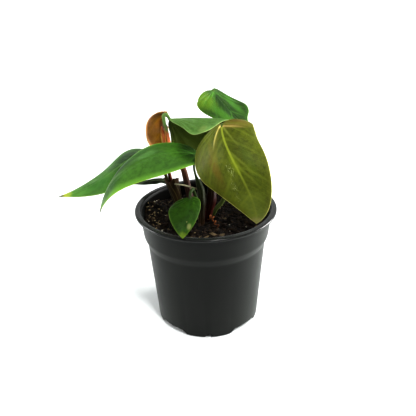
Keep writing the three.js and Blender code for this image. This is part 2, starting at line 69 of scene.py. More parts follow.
def spaced(millimetres):
    """The scale of a pattern whose marks lie about that far apart."""
    return 1 / (millimetres * MM)


def add(tree, kind, inputs=None, out=0, **settings):
    """Adds one node with its settings and links, and returns one of its outputs."""
    node = tree.nodes.new("ShaderNode" + kind)
    for name, value in settings.items():
        setattr(node, name, value)
    for socket, value in (inputs or {}).items():
        if isinstance(value, bpy.types.NodeSocket):
            tree.links.new(value, node.inputs[socket])
        else:
            node.inputs[socket].default_value = value
    return node.outputs[out] if node.outputs else node


def new_material(name):
    material = bpy.data.materials.new(name)
    material.use_nodes = True
    material.node_tree.nodes.clear()
    return material, material.node_tree


# ---- meshes -----------------------------------------------------------------------

MERGED = 2e-6  # metres within which two points are the same one


def placed(name, data):
    """An object in the scene that holds a mesh, a lamp or a camera."""
    thing = bpy.data.objects.new(name, data)
    bpy.context.scene.collection.objects.link(thing)
    return thing


def new_piece(name, points, faces, material, corner_values=None):
    """A smooth closed mesh, its points turned to metres and its doubled ones merged."""
    mesh = bpy.data.meshes.new(name)
    mesh.from_pydata((np.asarray(points) * MM).tolist(), [], faces)
    for layer, values in (corner_values or {}).items():
        at_corners = np.asarray(values)[[i for face in faces for i in face]]
        attribute = mesh.attributes.new(layer, "FLOAT_VECTOR", "CORNER")
        attribute.data.foreach_set("vector", at_corners.astype(np.float32).ravel())
    work = bmesh.new()
    work.from_mesh(mesh)
    bmesh.ops.remove_doubles(work, verts=work.verts, dist=MERGED)
    bmesh.ops.dissolve_degenerate(work, edges=work.edges, dist=MERGED / 2)
    bmesh.ops.recalc_face_normals(work, faces=work.faces)
    work.to_mesh(mesh)
    work.free()
    mesh.shade_smooth()
    mesh.materials.append(material)
    return placed(name, mesh)


def standing_for(piece, node):
    """Rides the piece on the one body, in the place and finish of a solid."""
    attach(piece, "root")
    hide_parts(node)


def two_sheets(rows, columns, first=0):
    """Quads over a grid of points, and over the grid behind it that follows it."""
    behind = (rows + 1) * (columns + 1)
    faces = []
    for row in range(rows):
        for column in range(columns):
            a = first + row * (columns + 1) + column
            quad = (a, a + 1, a + columns + 2, a + columns + 1)
            faces += [quad, tuple(i + behind for i in reversed(quad))]
    return faces


def catmull_rom(knots, steps):
    """A centripetal curve through the knots, whose first three numbers are a place."""
    knots = np.asarray(knots, float)
    padded = np.vstack([2 * knots[0] - knots[1], knots, 2 * knots[-1] - knots[-2]])
    spans = np.sqrt(np.linalg.norm(np.diff(padded[:, :3], axis=0), axis=1))
    found = []
    for i in range(len(knots) - 1):
        a, b, c, d = padded[i:i + 4]
        before, here, after = spans[i:i + 3]
        leave = ((b - a) / before - (c - a) / (before + here) + (c - b) / here) * here
        reach = ((c - b) / here - (d - b) / (here + after) + (d - c) / after) * here
        t = np.linspace(0, 1, steps, endpoint=False)[:, None]
        found.append(b + leave * t + (3 * (c - b) - 2 * leave - reach) * t * t
                     + (2 * (b - c) + leave + reach) * t ** 3)
    return np.vstack([*found, knots[-1:]])


DOME = 0.45  # how far a tube's end stands out, in radii
ASKEW = (0.3, 1.0, 0.2)  # a direction that no path starts along


def carried_frames(path):
    """Two directions across the path at each of its points, turning as little as they can."""
    ahead = unit(np.gradient(path, axis=0))
    across = [unit(np.cross(ahead[0], ASKEW))]
    for tangent in ahead[1:]:
        last = across[-1]
        across.append(unit(last - tangent * np.dot(last, tangent)))
    across = np.array(across)
    return across, np.cross(ahead, across)


def tube(path, radii, sides, swell):
    """Points, faces and (cos, sin, millimetres along) of a closed tube with domed ends."""
    across, other = carried_frames(path)
    steps = np.linalg.norm(np.diff(path, axis=0), axis=1)
    length = np.concatenate([[0], np.cumsum(steps)])
    angles = np.linspace(0, 2 * math.pi, sides, endpoint=False)
    cos, sin = np.cos(angles), np.sin(angles)
    scale = swell(length[:, None], angles[None])
    out = cos[None, :, None] * across[:, None] + sin[None, :, None] * other[:, None]
    rings = path[:, None] + out * (radii[:, None] * scale)[..., None]
    points = [*rings.reshape(-1, 3)]
    places = [(x, y, along) for along in length for x, y in zip(cos, sin)]
    faces = []
    for ring in range(len(path) - 1):
        for side in range(sides):
            a, b = ring * sides + side, ring * sides + (side + 1) % sides
            faces.append((a, b, b + sides, a + sides))
    ahead = unit(np.gradient(path, axis=0))
    for end, first, way in ((0, 0, -1), (-1, (len(path) - 1) * sides, 1)):
        points.append(path[end] + ahead[end] * way * DOME * radii[end])
        places.append((0, 0, length[end]))
        tip = len(points) - 1
        for side in range(sides):
            a, b = first + side, first + (side + 1) % sides
            faces.append((a, b, tip) if way > 0 else (b, a, tip))
    return points, faces, places


# ---- pot ----------------------------------------------------------------------------

POT_HEIGHT = 98.5
LIP_RADIUS = 57.0
LIP_FOOT = 96.2
COLLAR_TOP = 53.0
COLLAR_FOOT = (50.7, 77.0)
BODY_TOP = (48.0, 70.5)
BASE_RADIUS = 41.8
WALL = 1.2
FLOOR = 1.7
POT_SEGMENTS = 180
ARC_STEPS = 6  # points round each rounded corner of the profile
# Drain slots: width, height, slope of the ends, and degrees from the front.
SLOTS = [(6, 2.8, 1.4, 90 * i) for i in range(4)] + [(31, 4.2, 5.5, 45 + 90 * i) for i in range(4)]
SLOT_REACH = 8.0  # how far a slot runs in from the edge of the base
OVERRUN = 3.0  # how far a slot's cutter stands out of the pot
CREASE = 38  # degrees from which an edge of the pot is sharp
INNER_SHADE_FROM = 80.0  # height from which the inside of the wall is painted in shade, nearly black and dull


def rounded(corners):
    """Replaces each (radius, height, rounding) corner by an arc of short steps."""
    found = []
    for i, (r, z, rounding) in enumerate(corners):
        here = np.array([r, z])
        if rounding == 0:
            found.append(here)
            continue
        before, after = np.array(corners[i - 1][:2]), np.array(corners[i + 1][:2])
        start = here + unit(before - here) * rounding
        end = here + unit(after - here) * rounding
        for t in np.linspace(0, 1, ARC_STEPS):
            found.append((1 - t) ** 2 * start + 2 * t * (1 - t) * here + t * t * end)
    return found


def pot_profile():
    return rounded([
        (0, 0, 0), (BASE_RADIUS, 0, 1.2), (*BODY_TOP, 1.4), (*COLLAR_FOOT, 1.4),
        (COLLAR_TOP, LIP_FOOT, 0.4), (LIP_RADIUS, LIP_FOOT, 0.9), (LIP_RADIUS, POT_HEIGHT, 1.3),
        (COLLAR_TOP - WALL, POT_HEIGHT, 1.6), (COLLAR_FOOT[0] - WALL, COLLAR_FOOT[1], 0.7),
        (BODY_TOP[0] - WALL, BODY_TOP[1], 1.4), (BASE_RADIUS - WALL, FLOOR, 1.2), (0, FLOOR, 0),
    ])


def slot_cutter(width, height, slope, angle):
    """A block with sloping ends that cuts one drain slot under the edge of the base."""
    outline = [(-width / 2, -OVERRUN), (width / 2, -OVERRUN), (width / 2, 0),
               (width / 2 - slope, height), (slope - width / 2, height), (-width / 2, 0)]
    turn = math.radians(angle)
    points = []
    for depth in (-BASE_RADIUS - OVERRUN, -BASE_RADIUS + SLOT_REACH):
        for x, z in outline:
            points.append((x * math.cos(turn) - depth * math.sin(turn),
                           x * math.sin(turn) + depth * math.cos(turn), z))
    count = len(outline)
    faces = [tuple(range(count)), tuple(range(2 * count - 1, count - 1, -1))]
    faces += [(i, i + count, (i + 1) % count + count, (i + 1) % count) for i in range(count)]
    return points, faces


def pot_plastic():
    # Black polypropylene, injection moulded thin. It gives a satin skin with a broad soft
    # shine, faint flow lines up the wall and a grey bloom of dust, thickest low down.
    material, tree = new_material("moulded_black_polypropylene")
    place = add(tree, "TexCoord", out="Object")
    flow = add(tree, "Mapping", {"Vector": place, "Scale": (1.0, 1.0, 0.06)})
    streaks = add(tree, "TexNoise", {"Vector": flow, "Scale": spaced(5.556), "Detail": 3.0})
    clouds = add(tree, "TexNoise", {"Vector": place, "Scale": spaced(38.46), "Detail": 5.0,
                                    "Roughness": 0.6})
    height = add(tree, "SeparateXYZ", {"Vector": place}, out="Z")
    low = add(tree, "MapRange", {0: height, 1: 0.0, 2: POT_HEIGHT / 2 * MM, 3: 0.8, 4: 0.25},
              interpolation_type="SMOOTHSTEP")
    dust = add(tree, "MapRange", {0: clouds, 1: 0.42, 2: 0.72, 3: 0.0, 4: 1.0})
    dust = add(tree, "Math", {0: dust, 1: low}, operation="MULTIPLY")
    # Inside, above the mix, the wall is painted in shade: nearly black, with less shine.
    from_axis = add(tree, "VectorMath", {0: place, 1: (1, 1, 0)}, operation="MULTIPLY")
    from_axis = add(tree, "VectorMath", {0: from_axis}, out="Value", operation="LENGTH")
    flare = (COLLAR_TOP - COLLAR_FOOT[0]) / (LIP_FOOT - COLLAR_FOOT[1])
    mid_wall = (COLLAR_FOOT[0] - WALL / 2 - flare * COLLAR_FOOT[1]) * MM
    inner = add(tree, "Math", {0: height, 1: -flare, 2: from_axis}, operation="MULTIPLY_ADD")
    inner = add(tree, "Math", {0: inner, 1: mid_wall}, operation="LESS_THAN")
    above = add(tree, "Math", {0: height, 1: INNER_SHADE_FROM * MM}, operation="GREATER_THAN")
    inner_wall_shade = add(tree, "Math", {0: inner, 1: above}, operation="MULTIPLY")
    skin = add(tree, "Mix", {0: streaks, 6: linear("#080a08"), 7: linear("#0e100d")},
               out=2, data_type="RGBA")
    colour = add(tree, "Mix", {0: dust, 6: skin, 7: linear("#1a1c18")}, out=2, data_type="RGBA")
    colour = add(tree, "Mix", {0: inner_wall_shade, 6: colour, 7: linear("#040302")}, out=2,
                 data_type="RGBA")
    shine = add(tree, "MapRange", {0: clouds, 1: 0.3, 2: 0.75, 3: 0.38, 4: 0.5})
    shine = add(tree, "Math", {0: inner_wall_shade, 1: 0.32, 2: shine}, operation="MULTIPLY_ADD")
    reflect = add(tree, "Math", {0: inner_wall_shade, 1: -0.17, 2: 0.19}, operation="MULTIPLY_ADD")
    # The rolled lip is polished by handling.
    lip = add(tree, "Math", {0: height, 1: (LIP_FOOT - 0.3) * MM}, operation="GREATER_THAN")
    reflect = add(tree, "Math", {0: lip, 1: 0.16, 2: reflect}, operation="MULTIPLY_ADD")
    shine = add(tree, "Math", {0: lip, 1: -0.2, 2: shine}, operation="MULTIPLY_ADD")
    # The mould's grain is about 0.1 mm; it is drawn at 0.6 mm so that it shows.
    grain = add(tree, "TexNoise", {"Vector": place, "Scale": spaced(0.625), "Detail": 2.0})
    uneven = add(tree, "Math", {0: streaks, 1: grain}, operation="ADD")
    normal = add(tree, "Bump", {"Strength": 0.12, "Distance": 0.4 * MM, "Height": uneven})
    shader = add(tree, "BsdfPrincipled", {
        "Base Color": colour, "Roughness": shine, "Normal": normal, "IOR": 1.49,
        "Specular IOR Level": reflect, "Sheen Weight": 0.08, "Sheen Roughness": 0.45,
        "Sheen Tint": linear("#dfe6dc")})
    add(tree, "OutputMaterial", {"Surface": shader})
    return material


def nursery_pot():
    profile = np.array(pot_profile())
    turn = np.linspace(0, 2 * math.pi, POT_SEGMENTS, endpoint=False)
    points = [(r * math.cos(a), r * math.sin(a), z) for a in turn for r, z in profile]
    count = len(profile)
    faces = []
    for i in range(POT_SEGMENTS):
        j = (i + 1) % POT_SEGMENTS
        for k in range(count - 1):
            faces.append((i * count + k, j * count + k, j * count + k + 1, i * count + k + 1))
    plastic = pot_plastic()
    pot = new_piece("pot_shell", points, faces, plastic)
    cut_points, cut_faces = [], []
    for slot in SLOTS:
        block, block_faces = slot_cutter(*slot)
        cut_faces += [tuple(i + len(cut_points) for i in face) for face in block_faces]
        cut_points += block
    cutter = new_piece("slot_cutter", cut_points, cut_faces, plastic)
    cut = pot.modifiers.new("slots", "BOOLEAN")
    cut.object = cutter
    cut.solver = "EXACT"
    cut.use_self = True
    depsgraph = bpy.context.evaluated_depsgraph_get()
    shaped = bpy.data.meshes.new_from_object(pot.evaluated_get(depsgraph))
    pot.modifiers.clear()
    pot.data = shaped
    bpy.data.objects.remove(cutter)
    shaped.shade_smooth()
    shaped.set_sharp_from_angle(angle=math.radians(CREASE))
    standing_for(pot, "pot")


# ---- soil -----------------------------------------------------------------------------

SOIL_CLEARANCE = 0.45
SOIL_FOOT = 2.0
SOIL_LEVEL = 87.5
MOUND = 2.2  # how far the middle stands over that level
MOUND_REACH = 50.0
BANK = {"centre": (-49.0, 14.0), "reach": 17.0, "height": 7.0}  # the heap at the left
EDGE_HEIGHT = SOIL_LEVEL - 3  # where the wall of the soil ends
FOOT_CHAMFER = 1.2
SOIL_RINGS = 64
SOIL_SEGMENTS = 220
CALM_RINGS = 3  # the rings by the wall over which the fine lumps fade in
UP_COLLAR = (EDGE_HEIGHT - COLLAR_FOOT[1]) / (LIP_FOOT - COLLAR_FOOT[1])
SOIL_EDGE = mix(COLLAR_FOOT[0], COLLAR_TOP, UP_COLLAR) - WALL - SOIL_CLEARANCE
# Lumps: height in mm, radians for each mm along X and along Y, radians at the origin.
WAVES = [(0.4, 0.21, 0.17, 0.3), (0.4, 0.21, -0.17, 1.1), (0.55, 0.43, -0.31, 1.9),
         (0.4, 0.37, 0.61, 1.57)]


def soil_height(x, y):
    """The same mounds as the solid's, which the crumbs are laid on."""
    dome = MOUND * (1 - (x * x + y * y) / MOUND_REACH ** 2)
    away = (x - BANK["centre"][0]) ** 2 + (y - BANK["centre"][1]) ** 2
    lumps = sum(high * np.sin(by_x * x + by_y * y + start) for high, by_x, by_y, start in WAVES)
    return SOIL_LEVEL + dome + BANK["height"] * np.exp(-away / BANK["reach"] ** 2) + lumps


# Fine lumps of the mix, as clods, grains and fines: spacing, height, and where in the noise.
CRUMBS = [(9, 0.9, 3.1), (3, 0.8, 7.7), (1.3, 0.35, 1.9)]


def crumbly(x, y):
    """How far the crumbs stand over or under the mounds at a place."""
    return sum(height * noise.noise(Vector((x / spacing, y / spacing, layer)))
               for spacing, height, layer in CRUMBS)


def potting_mix():
    # Damp peat and composted bark, crumbled and pressed in by hand. It gives a nearly black
    # brown with paler crumbs about 2 mm wide, and a dull skin that takes no shine.
    material, tree = new_material("crumbled_damp_peat")
    place = add(tree, "TexCoord", out="Object")
    crumbs = add(tree, "TexVoronoi", {"Vector": place, "Scale": spaced(1.923)}, out="Color")
    tint = add(tree, "SeparateColor", {"Color": crumbs}, out="Red")
    clouds = add(tree, "TexNoise", {"Vector": place, "Scale": spaced(11.11), "Detail": 4.0})
    dark = add(tree, "Mix", {0: clouds, 6: linear("#040302"), 7: linear("#110a05")},
               out=2, data_type="RGBA")
    share = add(tree, "MapRange", {0: tint, 1: 0.72, 2: 0.98, 3: 0.0, 4: 0.75})
    # Higher up, as on the heap at the left, more of the crumbs are pale.
    level = add(tree, "SeparateXYZ", {"Vector": place}, out="Z")
    paler_higher = add(tree, "MapRange", {0: level, 1: 90 * MM, 2: 96 * MM, 3: 0.35, 4: 1.0})
    share = add(tree, "Math", {0: share, 1: paler_higher}, operation="MULTIPLY")
    colour = add(tree, "Mix", {0: share, 6: dark, 7: linear("#55432e")}, out=2, data_type="RGBA")
    # Peat fibres are under 0.3 mm; their relief is drawn at 1.1 mm so that it shows.
    relief = add(tree, "TexNoise", {"Vector": place, "Scale": spaced(1.111), "Detail": 5.0})
    normal = add(tree, "Bump", {"Strength": 0.7, "Distance": 0.6 * MM, "Height": relief})
    shader = add(tree, "BsdfPrincipled", {
        "Base Color": colour, "Roughness": 0.92, "Normal": normal, "Specular IOR Level": 0.12})
    add(tree, "OutputMaterial", {"Surface": shader})
    return material


def soil_body():
    """The whole filling of the pot, with its fine lumps, but without the shoots' holes."""
    inside = WALL + SOIL_CLEARANCE
    wall = [
        (BASE_RADIUS - inside - FOOT_CHAMFER, SOIL_FOOT),
        (BASE_RADIUS - inside, SOIL_FOOT + FOOT_CHAMFER),
        (BODY_TOP[0] - inside, BODY_TOP[1]),
        (COLLAR_FOOT[0] - inside, COLLAR_FOOT[1]),
        (SOIL_EDGE, EDGE_HEIGHT),
    ]
    points = []
    for i in range(SOIL_SEGMENTS):
        turn = 2 * math.pi * i / SOIL_SEGMENTS
        for r, z in wall:
            points.append((r * math.cos(turn), r * math.sin(turn), z))
        for ring in range(SOIL_RINGS, -1, -1):
            r = SOIL_EDGE * ring / SOIL_RINGS
            x, y = r * math.cos(turn), r * math.sin(turn)
            fade = min(1.0, (SOIL_RINGS - ring) / CALM_RINGS)
            points.append((x, y, soil_height(x, y) + fade * crumbly(x, y)))
        points.append((0, 0, SOIL_FOOT))
    count = len(wall) + SOIL_RINGS + 2
    faces = []
    for i in range(SOIL_SEGMENTS):
        j = (i + 1) % SOIL_SEGMENTS
        for a in range(count):
            if a != count - 2:  # the axis, where no face joins the top to the foot
                b = (a + 1) % count
                faces.append((i * count + a, j * count + a, j * count + b, i * count + b))
    body = new_piece("soil_body", points, faces, potting_mix())
    standing_for(body, "soil")


def bark():
    # Pine bark, composted and chipped. It gives split reddish-brown flakes, some bleached
    # to tan, each with its own tone and a fibrous grain.
    material, tree = new_material("chipped_pine_bark")
    place = add(tree, "TexCoord", out="Object")
    tone = add(tree, "Attribute", out="Vector", attribute_name="chip_tone")
    shade = add(tree, "SeparateXYZ", {"Vector": tone}, out="X")
    bleached = add(tree, "SeparateXYZ", {"Vector": tone}, out="Y")
    dark = add(tree, "Mix", {0: shade, 6: linear("#100a06"), 7: linear("#30200f")},
               out=2, data_type="RGBA")
    colour = add(tree, "Mix", {0: bleached, 6: dark, 7: linear("#9c8a68")}, out=2,
                 data_type="RGBA")
    # Bark fibres are about 0.2 mm; they are drawn at 0.7 mm so that they show.
    fibres = add(tree, "TexNoise", {"Vector": place, "Scale": spaced(0.7143), "Detail": 3.0,
                                    "Distortion": 1.5})
    streak = add(tree, "MapRange", {0: fibres, 1: 0.35, 2: 0.65, 3: 0.55, 4: 1.0})
    colour = add(tree, "Mix", {0: streak, 6: linear("#0a0603"), 7: colour}, out=2,
                 data_type="RGBA")
    normal = add(tree, "Bump", {"Strength": 0.5, "Distance": 0.3 * MM, "Height": fibres})
    shader = add(tree, "BsdfPrincipled", {
        "Base Color": colour, "Roughness": 0.8, "Normal": normal, "Specular IOR Level": 0.2})
    add(tree, "OutputMaterial", {"Surface": shader})
    return material


def perlite():
    # Expanded volcanic glass, popped by heat. It gives chalky off-white grains, pitted and
    # stained by the peat.
    material, tree = new_material("popped_perlite")
    place = add(tree, "TexCoord", out="Object")
    # Its pores are about 0.1 mm; they are drawn at 0.7 mm so that they show.
    pits = add(tree, "TexNoise", {"Vector": place, "Scale": spaced(0.6667), "Detail": 3.0})
    colour = add(tree, "Mix", {0: pits, 6: linear("#8d8472"), 7: linear("#d6cfbf")}, out=2,
                 data_type="RGBA")
    normal = add(tree, "Bump", {"Strength": 0.4, "Distance": 0.3 * MM, "Height": pits})
    shader = add(tree, "BsdfPrincipled", {"Base Color": colour, "Roughness": 0.8,
                                          "Normal": normal})
    add(tree, "OutputMaterial", {"Surface": shader})
    return material


# Chips that the eye picks out: place, size and share bleached.
MARKED_CHIPS = [
    ((-48, 10), 1.5, 0.9), ((-46, 6), 1.3, 0.8), ((-47.5, 15), 1.6, 0.9), ((-44, 12), 1.2, 0.6),
    ((-45, -2), 1.3, 0.6), ((-40, -9), 1.2, 0.5), ((-2, -36), 2.4, 0.7), ((3, -40), 2.0, 0.8),
    ((-7, -43), 2.2, 0.5), ((12, -31), 3.2, 0.2), ((9, -25), 2.8, 0.1), ((17, -36), 2.6, 0.3),
    ((22, -33), 2.2, 0.6), ((25, -38), 2.0, 0.5), ((-16, -38), 2.0, 0.6), ((5, -33), 3.0, 0.3),
]
MARKED_PERLITE = [(13, -40), (-12.5, -44.5), (-9.8, -45), (-34, -22), (-43, 20), (20, 24),
                  (38, 8), (-20, 36), (5, 42), (31, -20)]
LITTER_SEED = 41
LITTER_REACH = 48.5
LOOSE_CHIPS = 1700
LOOSE_PERLITE = 26
LARGEST_CHIP = 2.2
FINE = {"left_of": -34, "largest": 1.4}  # the chips of the heap are finer
PALE_ODDS = 0.03  # how many of the loose chips are bleached
HEAP = {"left_of": -36, "paler_by": 0.4}  # more of them in the heap
FRONT = {"nearer_than": -32, "left_of": 26, "paler_by": 0.25}  # and some more by the front
HULL_POINTS = 11


def flake(random, x, y, size, stretch):
    """An angular bit: the hull of a few points on a squashed ball, half sunk."""
    aim = unit(random.normal(size=(HULL_POINTS, 3)))
    aim *= size * random.uniform(0.75, 1.1, (HULL_POINTS, 1)) * np.array(stretch)
    lean, turn = random.uniform(-0.5, 0.5), random.uniform(0, 2 * math.pi)
    tilt = Matrix.Rotation(turn, 3, "Z") @ Matrix.Rotation(lean, 3, "X")
    aim = aim @ np.array(tilt).T
    z = soil_height(x, y) + crumbly(x, y) + 0.12 * size
    return aim + np.array([x, y, z])


def strewn(random, reach):
    """A random place on the mix, as likely anywhere within the reach of its middle."""
    away = reach * math.sqrt(random.uniform())
    turn = random.uniform(0, 2 * math.pi)
    return away * math.cos(turn), away * math.sin(turn)


def hulls(name, clouds, tones, material):
    """One mesh of many convex bits, each with its tone on its faces."""
    work = bmesh.new()
    layer = work.loops.layers.float_vector.new("chip_tone")
    for cloud, tone in zip(clouds, tones):
        corners = [work.verts.new(p * MM) for p in cloud]
        made = bmesh.ops.convex_hull(work, input=corners)
        spare = {v for v in made["geom_interior"] + made["geom_unused"]
                 if isinstance(v, bmesh.types.BMVert)}
        for face in {f for v in corners if v not in spare for f in v.link_faces}:
            for loop in face.loops:
                loop[layer] = tone
        for v in spare:
            work.verts.remove(v)
    bmesh.ops.recalc_face_normals(work, faces=work.faces)
    mesh = bpy.data.meshes.new(name)
    work.to_mesh(mesh)
    work.free()
    mesh.materials.append(material)
    return placed(name, mesh)


def soil_litter():
    """Bark chips and perlite strewn over the mix, seeded."""
    random = np.random.default_rng(LITTER_SEED)
    clouds, tones = [], []
    for (x, y), size, bleached in MARKED_CHIPS:
        clouds.append(flake(random, x, y, size, (1.1, 0.7, 0.5)))
        tones.append((random.uniform(0.4, 1.0), bleached, 0))
    for _ in range(LOOSE_CHIPS):
        x, y = strewn(random, LITTER_REACH)
        largest = LARGEST_CHIP if x > FINE["left_of"] else FINE["largest"]
        size = random.uniform(0.5, 1.0) ** 2 * largest
        clouds.append(flake(random, x, y, size, (random.uniform(0.8, 1.6), 0.8, 0.55)))
        in_front = y < FRONT["nearer_than"] and x < FRONT["left_of"]
        odds = PALE_ODDS + HEAP["paler_by"] * (x < HEAP["left_of"]) + FRONT["paler_by"] * in_front
        pale = random.uniform() < odds
        tones.append((random.uniform(0, 1) ** 1.5, random.uniform(0.15, 0.75) * pale, 0))
    chips = hulls("bark_chips", clouds, tones, bark())
    standing_for(chips, "soil")
    grains = []
    for x, y in MARKED_PERLITE:
        grains.append(flake(random, x, y, random.uniform(0.9, 1.4), (1, 1, 0.9)))
    for _ in range(LOOSE_PERLITE):
        x, y = strewn(random, LITTER_REACH - 0.5)
        grains.append(flake(random, x, y, random.uniform(0.4, 0.9), (1, 1, 0.9)))
    white = hulls("perlite_grains", grains, [(1, 1, 0)] * len(grains), perlite())
    standing_for(white, "soil")


# ---- leaf blades ------------------------------------------------------------------------

# Half outlines of a blade, flattened: share of the length from the petiole, share of the
# full width from the midrib, round the basal lobe and on to the tip.
OUTLINE = {
    "blunt": [(0, 0), (-0.045, 0.07), (-0.075, 0.18), (-0.06, 0.32), (0.02, 0.44), (0.17, 0.5),
              (0.4, 0.48), (0.62, 0.39), (0.81, 0.24), (0.93, 0.105), (1, 0)],
    "slim": [(0, 0), (-0.05, 0.07), (-0.085, 0.18), (-0.07, 0.32), (0.02, 0.44), (0.19, 0.5),
             (0.4, 0.47), (0.62, 0.35), (0.81, 0.18), (0.92, 0.07), (1, 0)],
    "eared": [(0, 0), (-0.045, 0.07), (-0.08, 0.18), (-0.1, 0.32), (-0.11, 0.45), (0.16, 0.5),
              (0.4, 0.48), (0.62, 0.39), (0.81, 0.24), (0.93, 0.105), (1, 0)],
    "swept": [(0, 0), (-0.023, 0.078), (-0.002, 0.152), (0.038, 0.22), (0.15, 0.325),
              (0.31, 0.46), (0.485, 0.466), (0.66, 0.37), (0.745, 0.19), (0.865, 0.06), (1, 0)],
    "rounded": [(0, 0), (-0.015, 0.065), (-0.057, 0.155), (-0.064, 0.3), (-0.017, 0.425),
                (0.135, 0.5), (0.33, 0.505), (0.54, 0.36), (0.73, 0.18), (0.87, 0.07), (1, 0)],
}

# Each blade as the solid has it: the midrib's Bezier, where the upper face looks at the
# base and tip, and for each half its width, fold and curl (degrees, base to tip).
LEAVES = {
    "blade_front_large": {
        "rib": [(13.3, -17.5, 172.8), (10, -44.5, 163.6), (38.7, -59.3, 133.8), (37, -46, 105.5)],
        "facing": [(-0.24, -0.28, 0.93), (-0.11, -0.91, -0.4)],
        "left": {"width": 24.5, "fold": (-6, 4), "curl": (47, 36), "outline": "eared"},
        "right": {"width": 33.8, "fold": (24, 11), "curl": (30, 12), "outline": "blunt"},
        "lobe_drop": 65, "wave": 0.5, "veins": 11,
    },
    "blade_top_tented": {
        "rib": [(-27, 27, 163.5), (-15.5, 33, 162.6), (9.5, 39.5, 160), (26, 35, 157.6)],
        "facing": [(-0.19, 0.23, 0.95), (0.23, 0.15, 0.96)],
        "left": {"width": 30, "fold": (78, 72), "curl": (19, 13), "outline": "blunt"},
        "right": {"width": 35.5, "fold": (5, -15), "curl": (35, 33), "outline": "blunt"},
        "lobe_drop": 55, "wave": 0.3, "veins": 10,
    },
    "blade_left_long": {
        "rib": [(-6.5, 7.5, 139.5), (-28.5, -4, 153.8), (-75, -18, 141), (-79.7, -31, 109.4)],
        "facing": [(0.62, -0.28, 0.73), (-0.87, -0.39, 0.29)],
        "left": {"width": 21.6, "fold": (-36, 19), "curl": (10, 29), "outline": "slim"},
        "right": {"width": 18.3, "fold": (16, 19), "curl": (14, 17), "outline": "slim"},
        "lobe_drop": 51, "wave": 0.3, "veins": 12,
    },
    "blade_young_copper": {
        "rib": [(-33.5, 44.5, 158.5), (-39, 43.5, 160), (-36, 46.5, 137), (-35.5, 45, 126)],
        "facing": [(-0.17, 0.94, 0.29), (-0.31, 0.94, -0.13)],
        "left": {"width": 16, "fold": (18, 13), "curl": (33, 32), "outline": "blunt"},
        "right": {"width": 13, "fold": (51, 48), "curl": (35, 32), "outline": "blunt"},
        "lobe_drop": 30, "wave": 0.2, "veins": 8,
    },
    "blade_left_rear": {
        "rib": [(-36, 19, 135), (-59, 16, 151.5), (-72.5, 10.5, 113), (-119, 7.5, 106.5)],
        "facing": [(0.59, -0.2, 0.78), (-0.11, -0.31, 0.95)],
        "left": {"width": 18.5, "fold": (12, 4), "curl": (16, 14), "outline": "slim"},
        "right": {"width": 21.5, "fold": (25, 13), "curl": (21, 14), "outline": "slim"},
        "lobe_drop": 20, "wave": 0.3, "veins": 12,
    },
    "blade_top_rear": {
        "rib": [(8.3, 69.5, 174.3), (15.5, 66.5, 165.5), (27.5, 53, 152), (44.5, 54.5, 140.5)],
        "facing": [(0.68, -0.13, 0.72), (0.54, -0.13, 0.83)],
        "left": {"width": 30, "fold": (2, -12), "curl": (-6, -13), "outline": "swept"},
        "right": {"width": 29.5, "fold": (6, -7), "curl": (28, 20), "outline": "rounded"},
        "lobe_drop": 15, "wave": 0.6, "veins": 9,
    },
    "blade_front_small": {
        "rib": [(-11.5, -29.5, 119.5), (-11.5, -39, 116.5), (-15, -48.5, 110.5),
                (-17, -55.5, 99.5)],
        "facing": [(-0.07, -0.31, 0.95), (0.21, -0.86, 0.46)],
        "left": {"width": 8.5, "fold": (10, 8), "curl": (12, 11), "outline": "blunt"},
        "right": {"width": 15.5, "fold": (12, 3), "curl": (16, 9), "outline": "blunt"},
        "lobe_drop": 30, "wave": 0.15, "veins": 7,
    },
    "blade_rear_low": {
        "rib": [(-31, 29.5, 107.5), (-38, 35.5, 109.5), (-50.5, 33, 106.5), (-61.5, 36, 103.5)],
        "facing": [(0.29, 0.06, 0.95), (-0.26, 0.02, 0.97)],
        "left": {"width": 9, "fold": (-3, 3), "curl": (5, 10), "outline": "slim"},
        "right": {"width": 10, "fold": (6, 7), "curl": (10, 9), "outline": "slim"},
        "lobe_drop": 0, "wave": 0.15, "veins": 7,
    },
}

LOBE_SHARE = 0.2  # the length behind the petiole that bends by the whole lobe drop
BLADE_THICKNESS = 0.56
RIM_THICKNESS = 0.3
RIM_TAPER = 2.5  # how far in from the rim the blade is thinner
RIB_DEPTH = 0.55  # how far the midrib stands out under the blade
RIB_TAPER = 0.7  # how much of that it loses by the tip
RIB_WIDTH = 1.1
GROOVE_DEPTH = 0.3  # along the midrib, on the upper face
GROOVE_WIDTH = 0.9
VEIN_DEPTH = 0.08
VEIN_UNDER = 0.8  # how much of that depth stands out under the blade
VEIN_WIDTH = 0.45
PILLOW = 0.22  # how far the blade swells between two side veins
VEIN_SLANT = 1.05  # how far a side vein runs towards the tip, in half widths
VEIN_BOW = 0.35  # how far a side vein sweeps forward on its way to the rim
RIPPLE = 14  # radians of the rim's wave from the petiole to the tip
RIPPLE_START = {"left": 0.6, "right": 2.9}
ROWS_PER_VEIN = 10
BLADE_COLUMNS = 20
MIDRIB_STEPS = 401


def bezier(knots, t):
    a, b, c, d = np.array(knots, float)
    t = t[..., None]
    return ((1 - t) ** 3 * a + 3 * (1 - t) ** 2 * t * b + 3 * (1 - t) * t * t * c + t ** 3 * d)


def midrib(leaf):
    """Places, directions and upward directions by share of its length, and that length."""
    line = bezier(leaf["rib"], np.linspace(0, 1, MIDRIB_STEPS))
    length = np.concatenate([[0], np.cumsum(np.linalg.norm(np.diff(line, axis=0), axis=1))])
    ahead = unit(np.gradient(line, axis=0))
    start, end = unit(np.array(leaf["facing"], float))

    def read(table, reach):
        return np.stack([np.interp(reach, length, column) for column in table.T], -1)

    def at(share):
        share = np.clip(share, 0, 1)
        place = read(line, share * length[-1])
        way = unit(read(ahead, share * length[-1]))
        up = mix(start, end, share[..., None])
        up = unit(up - way * np.sum(up * way, -1, keepdims=True))
        return place, way, up

    return at, length[-1]


